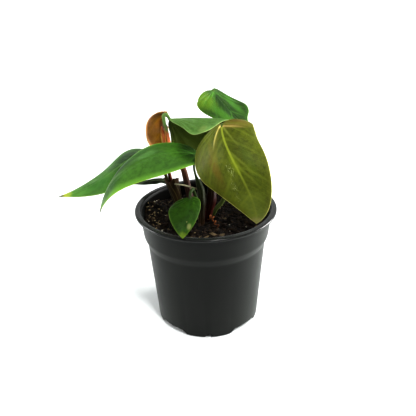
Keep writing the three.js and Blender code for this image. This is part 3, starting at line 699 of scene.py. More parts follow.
def grown(leaf, at, length, along, across, side):
    """Where points of the flat blade lie in the grown one, and the way up there."""
    name = "left" if side > 0 else "right"
    half = leaf[name]
    share = np.clip(along, 0, 1)
    place, ahead, up = at(along)
    left = np.cross(up, ahead)
    bend = math.radians(max(leaf["lobe_drop"], 0.1))
    radius = LOBE_SHARE * length / bend
    turn = (bend * np.maximum(-along, 0) / LOBE_SHARE)[..., None]
    place = place - ahead * radius * np.sin(turn) - up * radius * (1 - np.cos(turn))
    up = up * np.cos(turn) - ahead * np.sin(turn)
    fold = np.radians(mix(*half["fold"], share))
    curl = np.radians(mix(*half["curl"], share))
    reach = across / 0.5
    angle = fold + curl * reach
    out = half["width"] * (np.sin(angle) - np.sin(fold)) / curl
    rise = half["width"] * (np.cos(angle) - np.cos(fold)) / curl
    wave = leaf["wave"] * reach ** 2 * np.sin(RIPPLE * along + RIPPLE_START[name])
    place = place + left * (side * out)[..., None] + up * rise[..., None]
    tilted = up * np.cos(angle)[..., None] + left * (side * np.sin(angle))[..., None]
    up = np.where((across == 0)[..., None], up, tilted)
    return place + up * wave[..., None], up


def outline_at(name, t):
    """The half outline, a uniform Catmull-Rom curve through its points."""
    knots = np.array(OUTLINE[name], float)
    last = len(knots) - 1
    place = t * last
    i = np.minimum(np.floor(place).astype(int), last - 1)
    w = (place - i)[:, None]
    a, b = knots[np.maximum(i - 1, 0)], knots[i]
    a = np.where((i == 0)[:, None], knots[i], a)
    c, d = knots[i + 1], knots[np.minimum(i + 2, last)]
    leave, reach = (c - a) / 2, (d - b) / 2
    return ((2 * b - 2 * c + leave + reach) * w ** 3 + (3 * c - 3 * b - 2 * leave - reach) * w * w
            + leave * w + b)


def row_roots(leaf, length, t):
    """Where the rows, and with them the side veins, leave the midrib."""
    rims = [outline_at(leaf[side]["outline"], t) for side in ("left", "right")]
    slant = VEIN_SLANT * (leaf["left"]["width"] + leaf["right"]["width"]) / length
    roots = (rims[0][:, 0] + rims[1][:, 0]) / 2 - slant * (rims[0][:, 1] + rims[1][:, 1]) / 2
    roots = np.clip(np.maximum.accumulate(roots), 0, 1)
    roots[0], roots[-1] = 0, 1
    return roots


def blade_mesh(name, leaf, material):
    """A closed blade with a grooved midrib, sunken side veins and a pillow between them."""
    at, length = midrib(leaf)
    veins = leaf["veins"]
    rows, columns = ROWS_PER_VEIN * veins, BLADE_COLUMNS
    t = np.linspace(0, 1, rows + 1)
    roots = row_roots(leaf, length, t)
    share = np.linspace(0, 1, columns + 1)
    share = 0.5 * share + 0.5 * (1 - (1 - share) ** 2)  # closer together by the rim
    points, faces, places, traits = [], [], [], []
    for side in (1, -1):
        half = leaf["left" if side > 0 else "right"]
        rim = outline_at(half["outline"], t)
        rim[:, 1] = np.maximum(rim[:, 1], 0)
        swept = share - VEIN_BOW * share * (1 - share)
        along = roots[:, None] + (rim[:, :1] - roots[:, None]) * swept[None]
        across = rim[:, 1:] * share[None]
        centre, up = grown(leaf, at, length, along, across, side)
        to_rim = np.linalg.norm(np.diff(centre, axis=1), axis=2)
        from_rib = np.concatenate([np.zeros((rows + 1, 1)), np.cumsum(to_rim, 1)], 1)
        from_rim = from_rib[:, -1:] - from_rib
        row_step = np.linalg.norm(np.gradient(centre, axis=0), axis=2)
        phase = t * veins
        away = np.abs(phase - np.round(phase))[:, None] * ROWS_PER_VEIN * row_step
        fade = smooth(0, 4, from_rib) * smooth(0, 5, from_rim)
        pillow = PILLOW * fade * np.sin(math.pi * (phase % 1))[:, None] ** 2
        sunk = VEIN_DEPTH * np.exp(-(away / VEIN_WIDTH) ** 2) * smooth(0, 3, from_rim)
        groove = GROOVE_DEPTH * np.exp(-(from_rib / GROOVE_WIDTH) ** 2) * smooth(1.0, 0.9, along)
        rib_depth = RIB_DEPTH * (1 - RIB_TAPER * roots)[:, None]
        ridge = rib_depth * np.exp(-(from_rib / RIB_WIDTH) ** 2)
        thick = mix(RIM_THICKNESS, BLADE_THICKNESS, smooth(0, RIM_TAPER, from_rim)) / 2
        top = centre + up * (thick + pillow - sunk - groove)[..., None]
        bottom = centre - up * (thick - pillow + VEIN_UNDER * sunk + ridge)[..., None]
        first = len(points)
        for face, layer in ((1, top), (-1, bottom)):
            points += [*layer.reshape(-1, 3)]
            places += [*np.stack([along, side * from_rib, from_rim], -1).reshape(-1, 3)]
            traits += [*np.stack([away, np.broadcast_to(phase[:, None], away.shape),
                                  np.full_like(away, face)], -1).reshape(-1, 3)]
        faces += two_sheets(rows, columns, first)
        behind = (rows + 1) * (columns + 1)
        for row in range(rows):
            a = first + row * (columns + 1) + columns
            b = a + columns + 1
            faces.append((a, a + behind, b + behind, b))
    return new_piece(name, points, faces, material,
                     {"leaf_place": places, "leaf_trait": traits})


# The living skin of each blade. Colours, most with a strength: three tones of the blade
# from pale to dark, the under face, the midrib, the side veins, the margin, and the flush,
# which is a wide zone by the rim with its reach in mm. Spots and scuffs: (share along,
# millimetres left of the midrib, reach in shares, reach in millimetres, colour, strength).
# Streaks are strong veins: (from, to, width in mm, colour, strength). Gloss is the roughness
# of the wax, wax how much it reflects, and glow how much light the blade lets through.
# On some blades a spot or the midrib is a painted shade, shadow, sheen or glow of light through the
# blade; each is marked where it stands.
SKINS = {
    "blade_front_large": {
        "tones": ("#545c14", "#464e0e", "#363e08"), "under": ("#69743c", 0.7),
        "rib": ("#86902e", 0.75), "veins": ("#626c1e", 0.4), "margin": ("#a9a862", 0.75),
        "flush": (6, "#4e4f18", 0.4), "gloss": 0.44, "wax": 0.14, "glow": 0.1,
        "scuffs": [(0.43, -6, 0.08, 3.5, "#98a068", 0.7), (0.58, -11, 0.09, 3.5, "#8e965c", 0.7),
                   (0.7, -13, 0.06, 3, "#8e965c", 0.5)],
        "spots": [(0.0, 9, 0.1, 17, "#6c5e2c", 0.75), (-0.05, 9, 0.05, 7, "#57470f", 0.7),
                  (0.36, -20, 0.14, 6, "#5e4c14", 0.7), (0.5, -24, 0.12, 8, "#4a420c", 0.5),
                  (0.2, -28, 0.2, 6, "#484c0e", 0.5), (0.22, -16, 0.14, 4, "#66601c", 0.5),
                  (0.4, -31, 0.35, 4, "#44440c", 0.5),
                  (0.4, 0, 0.12, 4, "#6c7a1c", 0.6), (0.45, 14, 0.22, 6, "#4b5c12", 0.4),
                  (0.8, 0, 0.18, 14, "#566020", 0.5), (0.98, 0, 0.07, 8, "#757042", 0.7)],
        "streaks": [((0.0, -0.5), (0.19, -12.5), 1.5, "#d2c478", 0.95),
                    ((0.05, -3.5), (0.42, -21), 3.0, "#605e18", 0.5),
                    ((0.02, 0.5), (0.3, 12), 1.6, "#7f8838", 0.45),
                    ((0.03, 0.5), (0.08, 18), 1.6, "#a89458", 0.6),
                    ((0.3, 0.5), (0.55, 13), 1.8, "#727c2c", 0.45),
                    ((0.42, 0.5), (0.68, 14), 1.8, "#6c7628", 0.4)],
    },
    "blade_top_tented": {
        "tones": ("#58783e", "#4a6830", "#3c5627"), "under": ("#3a460a", 0.9),
        "rib": ("#6c8450", 0.7), "veins": ("#587040", 0.2), "margin": ("#86985e", 0.8),
        "flush": (5, "#66824a", 0.5), "gloss": 0.48, "wax": 0.07, "glow": 0.1,
        "spots": [(0.0, 0, 0.12, 14, "#6c8a54", 0.5), (0.37, -34.5, 0.12, 3.5, "#6e7c46", 0.5)],
        "streaks": [((0.02, -0.5), (0.2, -16), 1.4, "#5a7a42", 0.4)],
    },
    "blade_left_long": {
        "tones": ("#41691f", "#365a16", "#2a4a10"), "under": ("#54783a", 0.7),
        "rib": ("#48702c", 0.45), "veins": ("#476f2a", 0.28), "margin": ("#8dae3c", 0.85),
        "flush": (7, "#669630", 0.7), "gloss": 0.42, "wax": 0.3, "glow": 0.1,
        # The spot at 0.02 (#0c2002) is a painted shadow of the blades above it, those at 0.67
        # (#122c08) and 0.82 (#1e4410) are painted shade of the bend, and the pale one at 0.4, -8 mm
        # (#5a8448) is a painted sheen.
        "spots": [(1.0, 0, 0.06, 6, "#2e140a", 0.97), (0.02, 2, 0.17, 42, "#0c2002", 0.97),
                  (0.67, -16, 0.28, 10, "#122c08", 0.9), (0.4, -8, 0.14, 5, "#5a8448", 0.4),
                  (0.82, 0, 0.17, 7, "#1e4410", 0.8), (0.4, -20, 0.4, 6, "#2c5a16", 0.7)],
        "streaks": [((0.02, 0.5), (0.22, 11), 1.4, "#467a28", 0.35),
                    ((0.02, -0.5), (0.22, -9), 1.4, "#467a28", 0.35)],
    },
    "blade_young_copper": {
        "tones": ("#765a48", "#624838", "#4e382a"), "under": ("#70521c", 0.1),
        "rib": ("#5a3412", 0.6), "veins": ("#8f6a30", 0.35), "margin": ("#a8927e", 0.7),
        "flush": (4.2, "#b4907e", 0.85), "gloss": 0.42, "wax": 0.3, "glow": 0.7,
        # The salmon spot at 0.6 (#ffd2bc) is the pink inner face brightened into a painted glow of
        # light through the fold, and the dark one at 0.2 (#573a26) is painted shade in the fold.
        "spots": [(0.6, -5.5, 0.45, 5, "#ffd2bc", 0.95), (0.2, -5, 0.2, 5, "#573a26", 0.6),
                  (0.12, 3, 0.2, 5, "#8e6238", 0.6)],
    },
    "blade_left_rear": {
        "tones": ("#46702a", "#3a6222", "#2f541b"), "under": ("#54783a", 0.7),
        "rib": ("#5c7c40", 0.45), "veins": ("#4b7032", 0.26), "margin": ("#869e4e", 0.75),
        "flush": (5, "#4c7430", 0.4), "gloss": 0.4, "wax": 0.22, "glow": 0.1,
        # The dark spot at 0.3 (#0f280a) is a painted shadow of the long left blade above it.
        "spots": [(0.93, 0, 0.055, 7, "#a8ac38", 0.8), (1.0, 0, 0.05, 6, "#241006", 0.97),
                  (0.3, -6, 0.22, 16, "#0f280a", 0.88), (0.75, 6, 0.12, 5, "#5c8a3c", 0.5),
                  (0.64, 4, 0.16, 8, "#2a5a1e", 0.5), (0.85, 0, 0.08, 8, "#5a8a3c", 0.4)],
        "streaks": [((0.02, -0.5), (0.25, -10), 1.4, "#5c8a40", 0.3)],
    },
    "blade_top_rear": {
        "tones": ("#243b11", "#1b320a", "#122505"), "under": ("#6d8440", 0.7),
        # The dark midrib and the dark spots at 0.4 and 0.2 beside it (#132b05) are painted shade in
        # the valley of the fold.
        "rib": ("#152f06", 0.7), "veins": ("#3a6020", 0.5), "margin": ("#5f8036", 0.75),
        "flush": (5, "#345a1e", 0.4), "gloss": 0.48, "wax": 0.1, "glow": 0.25,
        "spots": [(0.02, -22, 0.3, 14, "#54701e", 0.8), (0.5, -20, 0.3, 10, "#3d661c", 0.6),
                  (0.4, -6, 0.25, 5, "#132b05", 0.75), (0.2, -5, 0.2, 4, "#132b05", 0.7),
                  (0.36, 18, 0.3, 9, "#38601e", 0.75)],
        "streaks": [((0.02, -0.5), (0.12, -16), 1.4, "#4c8028", 0.5),
                    ((0.02, 0.5), (0.3, 14), 1.4, "#38701f", 0.4)],
    },
    "blade_front_small": {
        "tones": ("#2a470e", "#213a09", "#182c06"), "under": ("#3f542a", 0.7),
        "rib": ("#284614", 0.6), "veins": ("#2b4a16", 0.35), "margin": ("#56702a", 0.5),
        "flush": (2.2, "#324c18", 0.4), "gloss": 0.42, "wax": 0.08, "glow": 0.1,
        "spots": [(0.95, 0, 0.1, 5, "#5f7222", 0.8), (0.71, 5.0, 0.08, 3.2, "#74784a", 0.7),
                  (0.62, 0.9, 0.02, 0.8, "#8a8a54", 0.6)],
    },
    "blade_rear_low": {
        "tones": ("#141d08", "#101605", "#0a1003"), "under": ("#3a482c", 0.7),
        "rib": ("#6a7852", 0.9), "veins": ("#3a4a2e", 0.35), "margin": ("#56644a", 0.7),
        "flush": (2, "#36442c", 0.4), "gloss": 0.6, "wax": 0.04, "glow": 0.1,
        "spots": [(0.8, 0, 0.2, 8, "#6a765e", 0.4)],
    },
}


def spot_share(tree, flat, mottle, spot):
    """How strongly a spot with a mottled edge shows at a place of the flat blade."""
    at_share, at_mm, reach_share, reach_mm, _, strength = spot
    apart = add(tree, "VectorMath", {0: flat, 1: (at_share, at_mm, 0)}, operation="SUBTRACT")
    apart = add(tree, "VectorMath", {0: apart, 1: (reach_share, reach_mm, 1)},
                operation="DIVIDE")
    apart = add(tree, "VectorMath", {0: apart}, out="Value", operation="LENGTH")
    ragged = add(tree, "Math", {0: mottle, 1: 0.8, 2: apart}, operation="MULTIPLY_ADD")
    return add(tree, "MapRange", {0: ragged, 1: 0.75, 2: 1.6, 3: strength, 4: 0.0},
               interpolation_type="SMOOTHSTEP")


def scuff_share(tree, millimetres, rubbed):
    """Short pale scratches, about 2 mm by 0.6 mm, scattered over a rubbed spot."""
    grain = add(tree, "Mapping", {"Vector": millimetres, "Scale": (0.45, 1.7, 1.0),
                                  "Rotation": (0, 0, 0.5)})
    scratches = add(tree, "TexNoise", {"Vector": grain, "Scale": 1.0, "Detail": 2.0,
                                       "Distortion": 0.6})
    scratches = add(tree, "MapRange", {0: scratches, 1: 0.55, 2: 0.64, 3: 0.0, 4: 1.0})
    return add(tree, "Math", {0: scratches, 1: rubbed}, operation="MULTIPLY")


def streak_share(tree, millimetres, length, streak):
    """How strongly a strong vein shows: a soft line that thins out towards its end."""
    start, end, width, _, strength = streak
    start = np.array([start[0] * length, start[1], 0])
    run = np.array([end[0] * length, end[1], 0]) - start
    reach = float(np.linalg.norm(run))
    way = tuple(run / reach)
    place = add(tree, "VectorMath", {0: millimetres, 1: tuple(start)}, operation="SUBTRACT")
    down = add(tree, "VectorMath", {0: place, 1: way}, out="Value", operation="DOT_PRODUCT")
    down = add(tree, "Math", {0: down, 1: 0.0}, operation="MAXIMUM")
    nearest = add(tree, "VectorMath", {0: way, "Scale": down}, operation="SCALE")
    apart = add(tree, "VectorMath", {0: place, 1: nearest}, out="Value", operation="DISTANCE")
    across = add(tree, "MapRange", {0: apart, 1: 0.15 * width, 2: width, 3: strength, 4: 0.0},
                 interpolation_type="SMOOTHSTEP")
    onward = add(tree, "MapRange", {0: down, 1: 0.3 * reach, 2: 1.2 * reach, 3: 1.0, 4: 0.0},
                 interpolation_type="SMOOTHSTEP")
    return add(tree, "Math", {0: across, 1: onward}, operation="MULTIPLY")


def leaf_skin(name, skin, length):
    # A living philodendron blade, grown smooth with a thin wax. It gives a soft satin sheen
    # over mottled green, paler veins that fade towards the rim, and a fine pale margin.
    material, tree = new_material("waxy_leaf_" + name.replace("blade_", ""))
    place = add(tree, "TexCoord", out="Object")
    leaf_place = add(tree, "Attribute", out="Vector", attribute_name="leaf_place")
    trait = add(tree, "Attribute", out="Vector", attribute_name="leaf_trait")
    along = add(tree, "SeparateXYZ", {"Vector": leaf_place}, out="X")
    sideways = add(tree, "SeparateXYZ", {"Vector": leaf_place}, out="Y")
    from_rim = add(tree, "SeparateXYZ", {"Vector": leaf_place}, out="Z")
    from_vein = add(tree, "SeparateXYZ", {"Vector": trait}, out="X")
    phase = add(tree, "SeparateXYZ", {"Vector": trait}, out="Y")
    face = add(tree, "SeparateXYZ", {"Vector": trait}, out="Z")
    from_rib = add(tree, "Math", {0: sideways}, operation="ABSOLUTE")
    flat = add(tree, "CombineXYZ", {"X": along, "Y": sideways})
    millimetres = add(tree, "VectorMath", {0: flat, 1: (length, 1, 0)}, operation="MULTIPLY")

    mottle = add(tree, "TexNoise", {"Vector": place, "Scale": spaced(14.29), "Detail": 5.0,
                                    "Roughness": 0.55})
    tone = add(tree, "MapRange", {0: mottle, 1: 0.35, 2: 0.65, 3: 0.0, 4: 1.0})
    pale_tone, middle_tone, dark_tone = skin["tones"]
    colour = add(tree, "Mix", {0: tone, 6: linear(pale_tone), 7: linear(middle_tone)}, out=2,
                 data_type="RGBA")
    # Groups of cells that hold more or less green, under 1 mm across, drawn at 3 mm.
    blotches = add(tree, "TexNoise", {"Vector": place, "Scale": spaced(3.03), "Detail": 6.0,
                                      "Roughness": 0.65})
    darker = add(tree, "MapRange", {0: blotches, 1: 0.44, 2: 0.68, 3: 0.0, 4: 0.85})
    reach, flush, strength = skin["flush"]
    flushed = add(tree, "MapRange", {0: from_rim, 1: 0.15 * reach, 2: reach, 3: strength, 4: 0.0},
                  interpolation_type="SMOOTHSTEP")
    margin, strength = skin["margin"]
    edged = add(tree, "MapRange", {0: from_rim, 1: 0.2, 2: 0.9, 3: strength, 4: 0.0},
                interpolation_type="SMOOTHSTEP")
    spots = [(spot_share(tree, flat, mottle, spot), spot[4]) for spot in skin["spots"]]
    veins, vein_strength = skin["veins"]
    # Parallel veinlets lie about 0.4 mm apart; they are drawn five to a side vein's gap.
    fine = add(tree, "Math", {0: phase, 1: 5.0}, operation="MULTIPLY")
    fine = add(tree, "Math", {0: fine, 1: 0.5}, operation="PINGPONG")
    fine = add(tree, "MapRange", {0: fine, 1: 0.0, 2: 0.22, 3: 0.35 * vein_strength, 4: 0.0},
               interpolation_type="SMOOTHSTEP")
    # The net between the veinlets has meshes of about 0.3 mm; it is drawn at 1.2 mm.
    net = add(tree, "TexVoronoi", {"Vector": place, "Scale": spaced(1.1765)}, out="Distance",
              feature="DISTANCE_TO_EDGE")
    web = add(tree, "MapRange", {0: net, 1: 0.0, 2: 0.12, 3: 0.25 * vein_strength, 4: 0.0})
    vein = add(tree, "MapRange", {0: from_vein, 1: 0.1, 2: 2.1, 3: vein_strength, 4: 0.0},
               interpolation_type="SMOOTHSTEP")
    inner = add(tree, "MapRange", {0: from_rim, 1: 1.0, 2: 12.0, 3: 0.1, 4: 1.0})
    vein = add(tree, "Math", {0: vein, 1: inner}, operation="MULTIPLY")
    streaks = [(streak_share(tree, millimetres, length, streak), streak[3])
               for streak in skin.get("streaks", [])]
    scuffs = [(scuff_share(tree, millimetres, spot_share(tree, flat, mottle, scuff)), scuff[4])
              for scuff in skin.get("scuffs", [])]
    rib, strength = skin["rib"]
    ribbed = add(tree, "MapRange", {0: from_rib, 1: 0.25, 2: 1.5, 3: strength, 4: 0.0},
                 interpolation_type="SMOOTHSTEP")
    paler = add(tree, "MapRange", {0: along, 1: 0.3, 2: 0.75, 3: 1.0, 4: 0.12})
    ribbed = add(tree, "Math", {0: ribbed, 1: paler}, operation="MULTIPLY")
    under, strength = skin["under"]
    turned = add(tree, "MapRange", {0: face, 1: -0.2, 2: 0.2, 3: strength, 4: 0.0},
                 interpolation_type="SMOOTHSTEP")
    # Each colour layer, a real mark or a painted shade, shadow, sheen or glow, lies over the ones
    # before it, by its share.
    stains_and_painted_light = [(darker, dark_tone), (flushed, flush), (edged, margin), *spots, (fine, veins),
              (web, veins), (vein, veins), *streaks, *scuffs, (ribbed, rib), (turned, under)]
    for share, layer_colour in stains_and_painted_light:
        colour = add(tree, "Mix", {0: share, 6: colour, 7: linear(layer_colour)}, out=2,
                     data_type="RGBA")

    gloss = add(tree, "MapRange", {0: mottle, 1: 0.3, 2: 0.7, 3: skin["gloss"] - 0.05,
                                   4: skin["gloss"] + 0.12})
    # The skin's cells are under 0.1 mm; they are drawn at 0.7 mm so that they show.
    cells = add(tree, "TexNoise", {"Vector": place, "Scale": spaced(0.7143), "Detail": 2.0})
    rough = add(tree, "Math", {0: web, 1: 2.0, 2: cells}, operation="MULTIPLY_ADD")
    rough = add(tree, "Math", {0: blotches, 1: 3.0, 2: rough}, operation="MULTIPLY_ADD")
    normal = add(tree, "Bump", {"Strength": 0.25, "Distance": 0.5 * MM, "Height": rough})
    shader = add(tree, "BsdfPrincipled", {
        "Base Color": colour, "Roughness": gloss, "Normal": normal, "IOR": 1.42,
        "Specular IOR Level": skin["wax"], "Subsurface Weight": skin["glow"],
        "Subsurface Radius": (1.2, 1.0, 0.3), "Subsurface Scale": (1 + 2 * skin["glow"]) * MM})
    add(tree, "OutputMaterial", {"Surface": shader})
    return material


def leaf_blades():
    for node, leaf in LEAVES.items():
        skin = leaf_skin(node, SKINS[node], float(midrib(leaf)[1]))
        piece = blade_mesh(node.replace("blade", "leaf"), leaf, skin)
        standing_for(piece, node)


# ---- stems and petioles --------------------------------------------------------------------

ROOTED = 74  # height of the rooted ends

# Routes as the solids have them: (x, y, z, radius), the node, and the blade carried.
ROUTES = {
    "stem_centre": ("vine_centre", "blade_top_rear", [
        (1.5, -6.5, ROOTED, 2.2), (1.5, -7, 88, 2.7), (2.3, -6.5, 96, 3), (4.6, -4.5, 106, 3.9),
        (5.5, 1.5, 116, 3.5), (8, 11, 124, 2), (11, 25, 131, 1.5), (12, 42, 138, 1.3),
        (11, 58, 151, 1.2), (8.8, 67, 162.5, 1.2), (7.6, 70.3, 172, 1.2)]),
    "root_curled": ("vine_centre", None, [
        (2, -7.5, 91, 1.3), (4, -10.5, 94.5, 1.2), (6, -13.8, 93, 1.2), (8, -16.5, 90.5, 1.1),
        (10, -19, 86.5, 1)]),
    "stem_front": ("vine_front", "blade_left_long", [
        (-3.6, -12.5, ROOTED, 2.1), (-3.6, -12.5, 88, 2.5), (-3.6, -11.5, 97, 2.6),
        (-3.2, -8.8, 106, 3.3), (-3.5, -5, 113, 3.3), (-5, -2.5, 119.5, 2.4),
        (-7, -0.5, 124.5, 1.1), (-8.5, 4, 132, 0.9), (-6.8, 7.2, 138.3, 1)]),
    "petiole_front_small": ("vine_front", "blade_front_small", [
        (-3.8, -11.5, 98, 1.2), (-5.8, -14, 108, 1.2), (-8, -18, 118, 1.1),
        (-9.5, -23, 124, 1.2), (-10.8, -26.8, 123.2, 1.1), (-11.4, -28.6, 120.6, 1)]),
    "root_aerial": ("vine_front", None, [
        (-5, -4.5, 115.5, 0.9), (-12, -6, 118.5, 0.7), (-17.5, -5, 119.8, 0.6),
        (-24, -3.6, 120.2, 0.5)]),
    "petiole_right": ("vine_right", "blade_front_large", [
        (4, 1, ROOTED, 1.8), (5, 1, 88, 1.9), (8, 2, 94.5, 1.8), (13, 3.5, 100, 1.8),
        (18, 5, 110, 1.6), (20.5, 0, 130, 1.5), (19, -8, 150, 1.4), (15.4, -14.6, 165.8, 1.3),
        (13.6, -16.7, 171.4, 1.3)]),
    "petiole_left": ("vine_left", "blade_top_tented", [
        (-10, 3, ROOTED, 2), (-10.5, 3, 88, 2.3), (-11.5, 4, 99, 2.5), (-14, 6, 112.5, 2.6),
        (-17, 10, 126, 2.3), (-22.5, 15.5, 135, 1.6), (-27.5, 21.5, 144, 1.3),
        (-29.6, 25, 153.5, 1.2), (-31.5, 25.5, 162, 1.3), (-31.6, 26, 166.6, 1.6),
        (-30, 26.5, 167.4, 1.5), (-28, 26.8, 165, 1.2)]),
    "stem_young": ("vine_young", "blade_young_copper", [
        (-19, 5, ROOTED, 1.9), (-19.5, 5, 90, 2.2), (-22, 4.5, 100, 2.3), (-24.5, 5.5, 109, 2),
        (-27, 8, 116.5, 1.6), (-28.6, 13, 121, 1.4), (-30.4, 20, 126, 1.3),
        (-32.3, 30, 134.5, 1.2), (-33.5, 38.5, 143.5, 1.2), (-34.6, 44, 152, 1.1),
        (-34, 45.8, 156.8, 1.1)]),
    "petiole_left_rear": ("vine_young", "blade_left_rear", [
        (-24.5, 5.5, 109, 1.7), (-29.5, 8, 117, 1.4), (-32, 12, 122.5, 1.3),
        (-34.4, 16.5, 129, 1.2), (-35.2, 18.4, 132.6, 1.2)]),
    "petiole_rear_low": ("vine_young", "blade_rear_low", [
        (-20.5, 5.5, 94, 1.5), (-23, 13, 101, 1.2), (-27.5, 24, 106, 1.1), (-30.2, 28.6, 107.4, 1)]),
}

# Skin colours of each route, from the soil up, with the height where each one holds.
STEM_COLOURS = {
    "stem_centre": [(88, "#140503"), (97, "#360c07"), (110, "#200604"), (122, "#2c2a16"),
                    (140, "#4a5c2c")],
    "root_curled": [(88, "#42230f"), (93, "#84502c"), (96, "#8a542e")],
    "stem_front": [(88, "#2c1c0c"), (98, "#20170a"), (106, "#181a08"), (114, "#1e240e"),
                   (122, "#243016"), (136, "#364e20")],
    "petiole_front_small": [(98, "#242a16"), (112, "#28321a"), (124, "#2a3c1a")],
    "root_aerial": [(115, "#6f6a50"), (120, "#a59f86")],
    "petiole_right": [(88, "#3f4a1e"), (98, "#5a6834"), (120, "#2c361c"), (170, "#4f5c2c")],
    # The salmon of petiole_left at 143 mm and of stem_young from 138 mm up is a pink young skin
    # brightened into a painted highlight.
    "petiole_left": [(88, "#1c0e0a"), (104, "#3c241e"), (120, "#543a32"), (130, "#7a4a30"),
                     (143, "#d47c50"), (152, "#8a5230"), (158, "#50683a"), (162, "#5f7a44")],
    "stem_young": [(90, "#2a170e"), (108, "#4a2618"), (124, "#7a3d28"), (138, "#d88058"),
                   (156, "#c87850")],
    "petiole_left_rear": [(110, "#4f2f1c"), (132, "#55622e")],
    "petiole_rear_low": [(94, "#3a2414"), (106, "#4c5a3c")],
}

# The surface root winds about its route, thinner than the solid that stands for it.
CURLS = {"turns": 4.5, "reach": 1.2, "thinned": 0.42, "steps": 40}
# Where a petiole ends in its blade: shares of the midrib's length and of its last radius.
PETIOLE_END = [(0.0, 0.95), (0.035, 0.55)]
UNDER_RIB = 0.45  # how far under the blade's middle it ends
THINNEST = 0.3
ROUTE_STEPS = 10  # points of a stem from one knot of its route to the next
THICK = 1.6  # radius from which a stem has more sides
SIDES = {"thick": 20, "thin": 14}
LIFTED = 6  # how far the unevenness of a stem's colours lifts them on the whole


def stem_skin(name, colours):
    # A living stem, grown with long fibres under a thin skin. It gives fine streaks along
    # its length, a soft shine and colours that change unevenly from the soil up.
    material, tree = new_material("fibrous_skin_" + name)
    place = add(tree, "TexCoord", out="Object")
    height = add(tree, "SeparateXYZ", {"Vector": place}, out="Z")
    around = add(tree, "Attribute", out="Vector", attribute_name="stem_place")
    uneven = add(tree, "TexNoise", {"Vector": place, "Scale": spaced(6.25), "Detail": 4.0})
    height = add(tree, "Math", {0: uneven, 1: 2 * LIFTED * MM, 2: height},
                 operation="MULTIPLY_ADD")
    low, high = colours[0][0], colours[-1][0]
    share = add(tree, "MapRange", {0: height, 1: (low + LIFTED) * MM, 2: (high + LIFTED) * MM})
    ramp = tree.nodes.new("ShaderNodeValToRGB")
    tree.links.new(share, ramp.inputs[0])
    stops = ramp.color_ramp.elements
    stops.remove(stops[1])
    stops[0].color = linear(colours[0][1])
    for level, colour in colours[1:]:
        stops.new((level - low) / (high - low)).color = linear(colour)
    # Fibres are about 0.15 mm apart; they are drawn at 0.6 mm so that they show.
    lines = add(tree, "Mapping", {"Vector": around, "Scale": (3.2, 3.2, 0.07)})
    streaks = add(tree, "TexNoise", {"Vector": lines, "Scale": 1.0, "Detail": 4.0})
    pale = add(tree, "MapRange", {0: streaks, 1: 0.5, 2: 0.72, 3: 0.0, 4: 0.1})
    colour = add(tree, "Mix", {0: pale, 6: ramp.outputs[0], 7: linear("#8a7a66")}, out=2,
                 data_type="RGBA")
    deep = add(tree, "MapRange", {0: streaks, 1: 0.5, 2: 0.3, 3: 0.0, 4: 0.45})
    colour = add(tree, "Mix", {0: deep, 6: colour, 7: linear("#0c0603")}, out=2,
                 data_type="RGBA")
    normal = add(tree, "Bump", {"Strength": 0.35, "Distance": 0.4 * MM, "Height": streaks})
    shader = add(tree, "BsdfPrincipled", {
        "Base Color": colour, "Roughness": 0.5, "Normal": normal, "IOR": 1.42,
        "Specular IOR Level": 0.09})
    add(tree, "OutputMaterial", {"Surface": shader})
    return material


def swollen(length, angles):
    """Shallow ribs along a stem and slight swellings."""
    return 1 + 0.035 * np.cos(5 * angles + 0.05 * length) + 0.03 * np.sin(0.55 * length + angles)


def curled(path):
    """Winds a thin rootlet about the route of the surface root."""
    across, other = carried_frames(path)
    turn = np.linspace(0, 2 * math.pi * CURLS["turns"], len(path))
    reach = CURLS["reach"] * (1 + 0.35 * np.sin(1.7 * turn + 0.4))
    return path + across * (reach * np.cos(turn))[:, None] + other * (reach * np.sin(turn))[:, None]


def stems():
    for name, (node, blade, route) in ROUTES.items():
        knots = list(route)
        if blade:
            at, _ = midrib(LEAVES[blade])
            for share, radius in PETIOLE_END:
                base, _, up = at(np.array(share))
                knots.append((*(base - up * UNDER_RIB), radius * route[-1][3]))
        winds = name == "root_curled"
        line = catmull_rom(knots, CURLS["steps"] if winds else ROUTE_STEPS)
        path, radii = line[:, :3], np.maximum(line[:, 3], THINNEST)
        if winds:
            path, radii = curled(path), CURLS["thinned"] * radii
        sides = SIDES["thick" if radii.max() > THICK else "thin"]
        points, faces, places = tube(path, radii, sides, swollen)
        piece = new_piece(name, points, faces, stem_skin(name, STEM_COLOURS[name]),
                          {"stem_place": places})
        standing_for(piece, node)


# ---- dry sheath ------------------------------------------------------------------------------

# The middle of its roll, from the foot up, with the inner radius and the degrees that it
# spans at each height. Its front is in degrees from +X, and the split is a share of it.
SHEATH = {
    "route": [(-19.5, 5, 91.6), (-22, 4.2, 100), (-24, 3.8, 110), (-26, 3.2, 118),
              (-27, 2.8, 125)],
    "radius": (2.9, 3.4, 4.2, 4.8, 5.6),
    "span": (150, 165, 190, 200, 215),
    "front": 262, "thickness": 0.55, "split_depth": 0.16, "rows": 40, "columns": 44,
    "steps": 20,
}


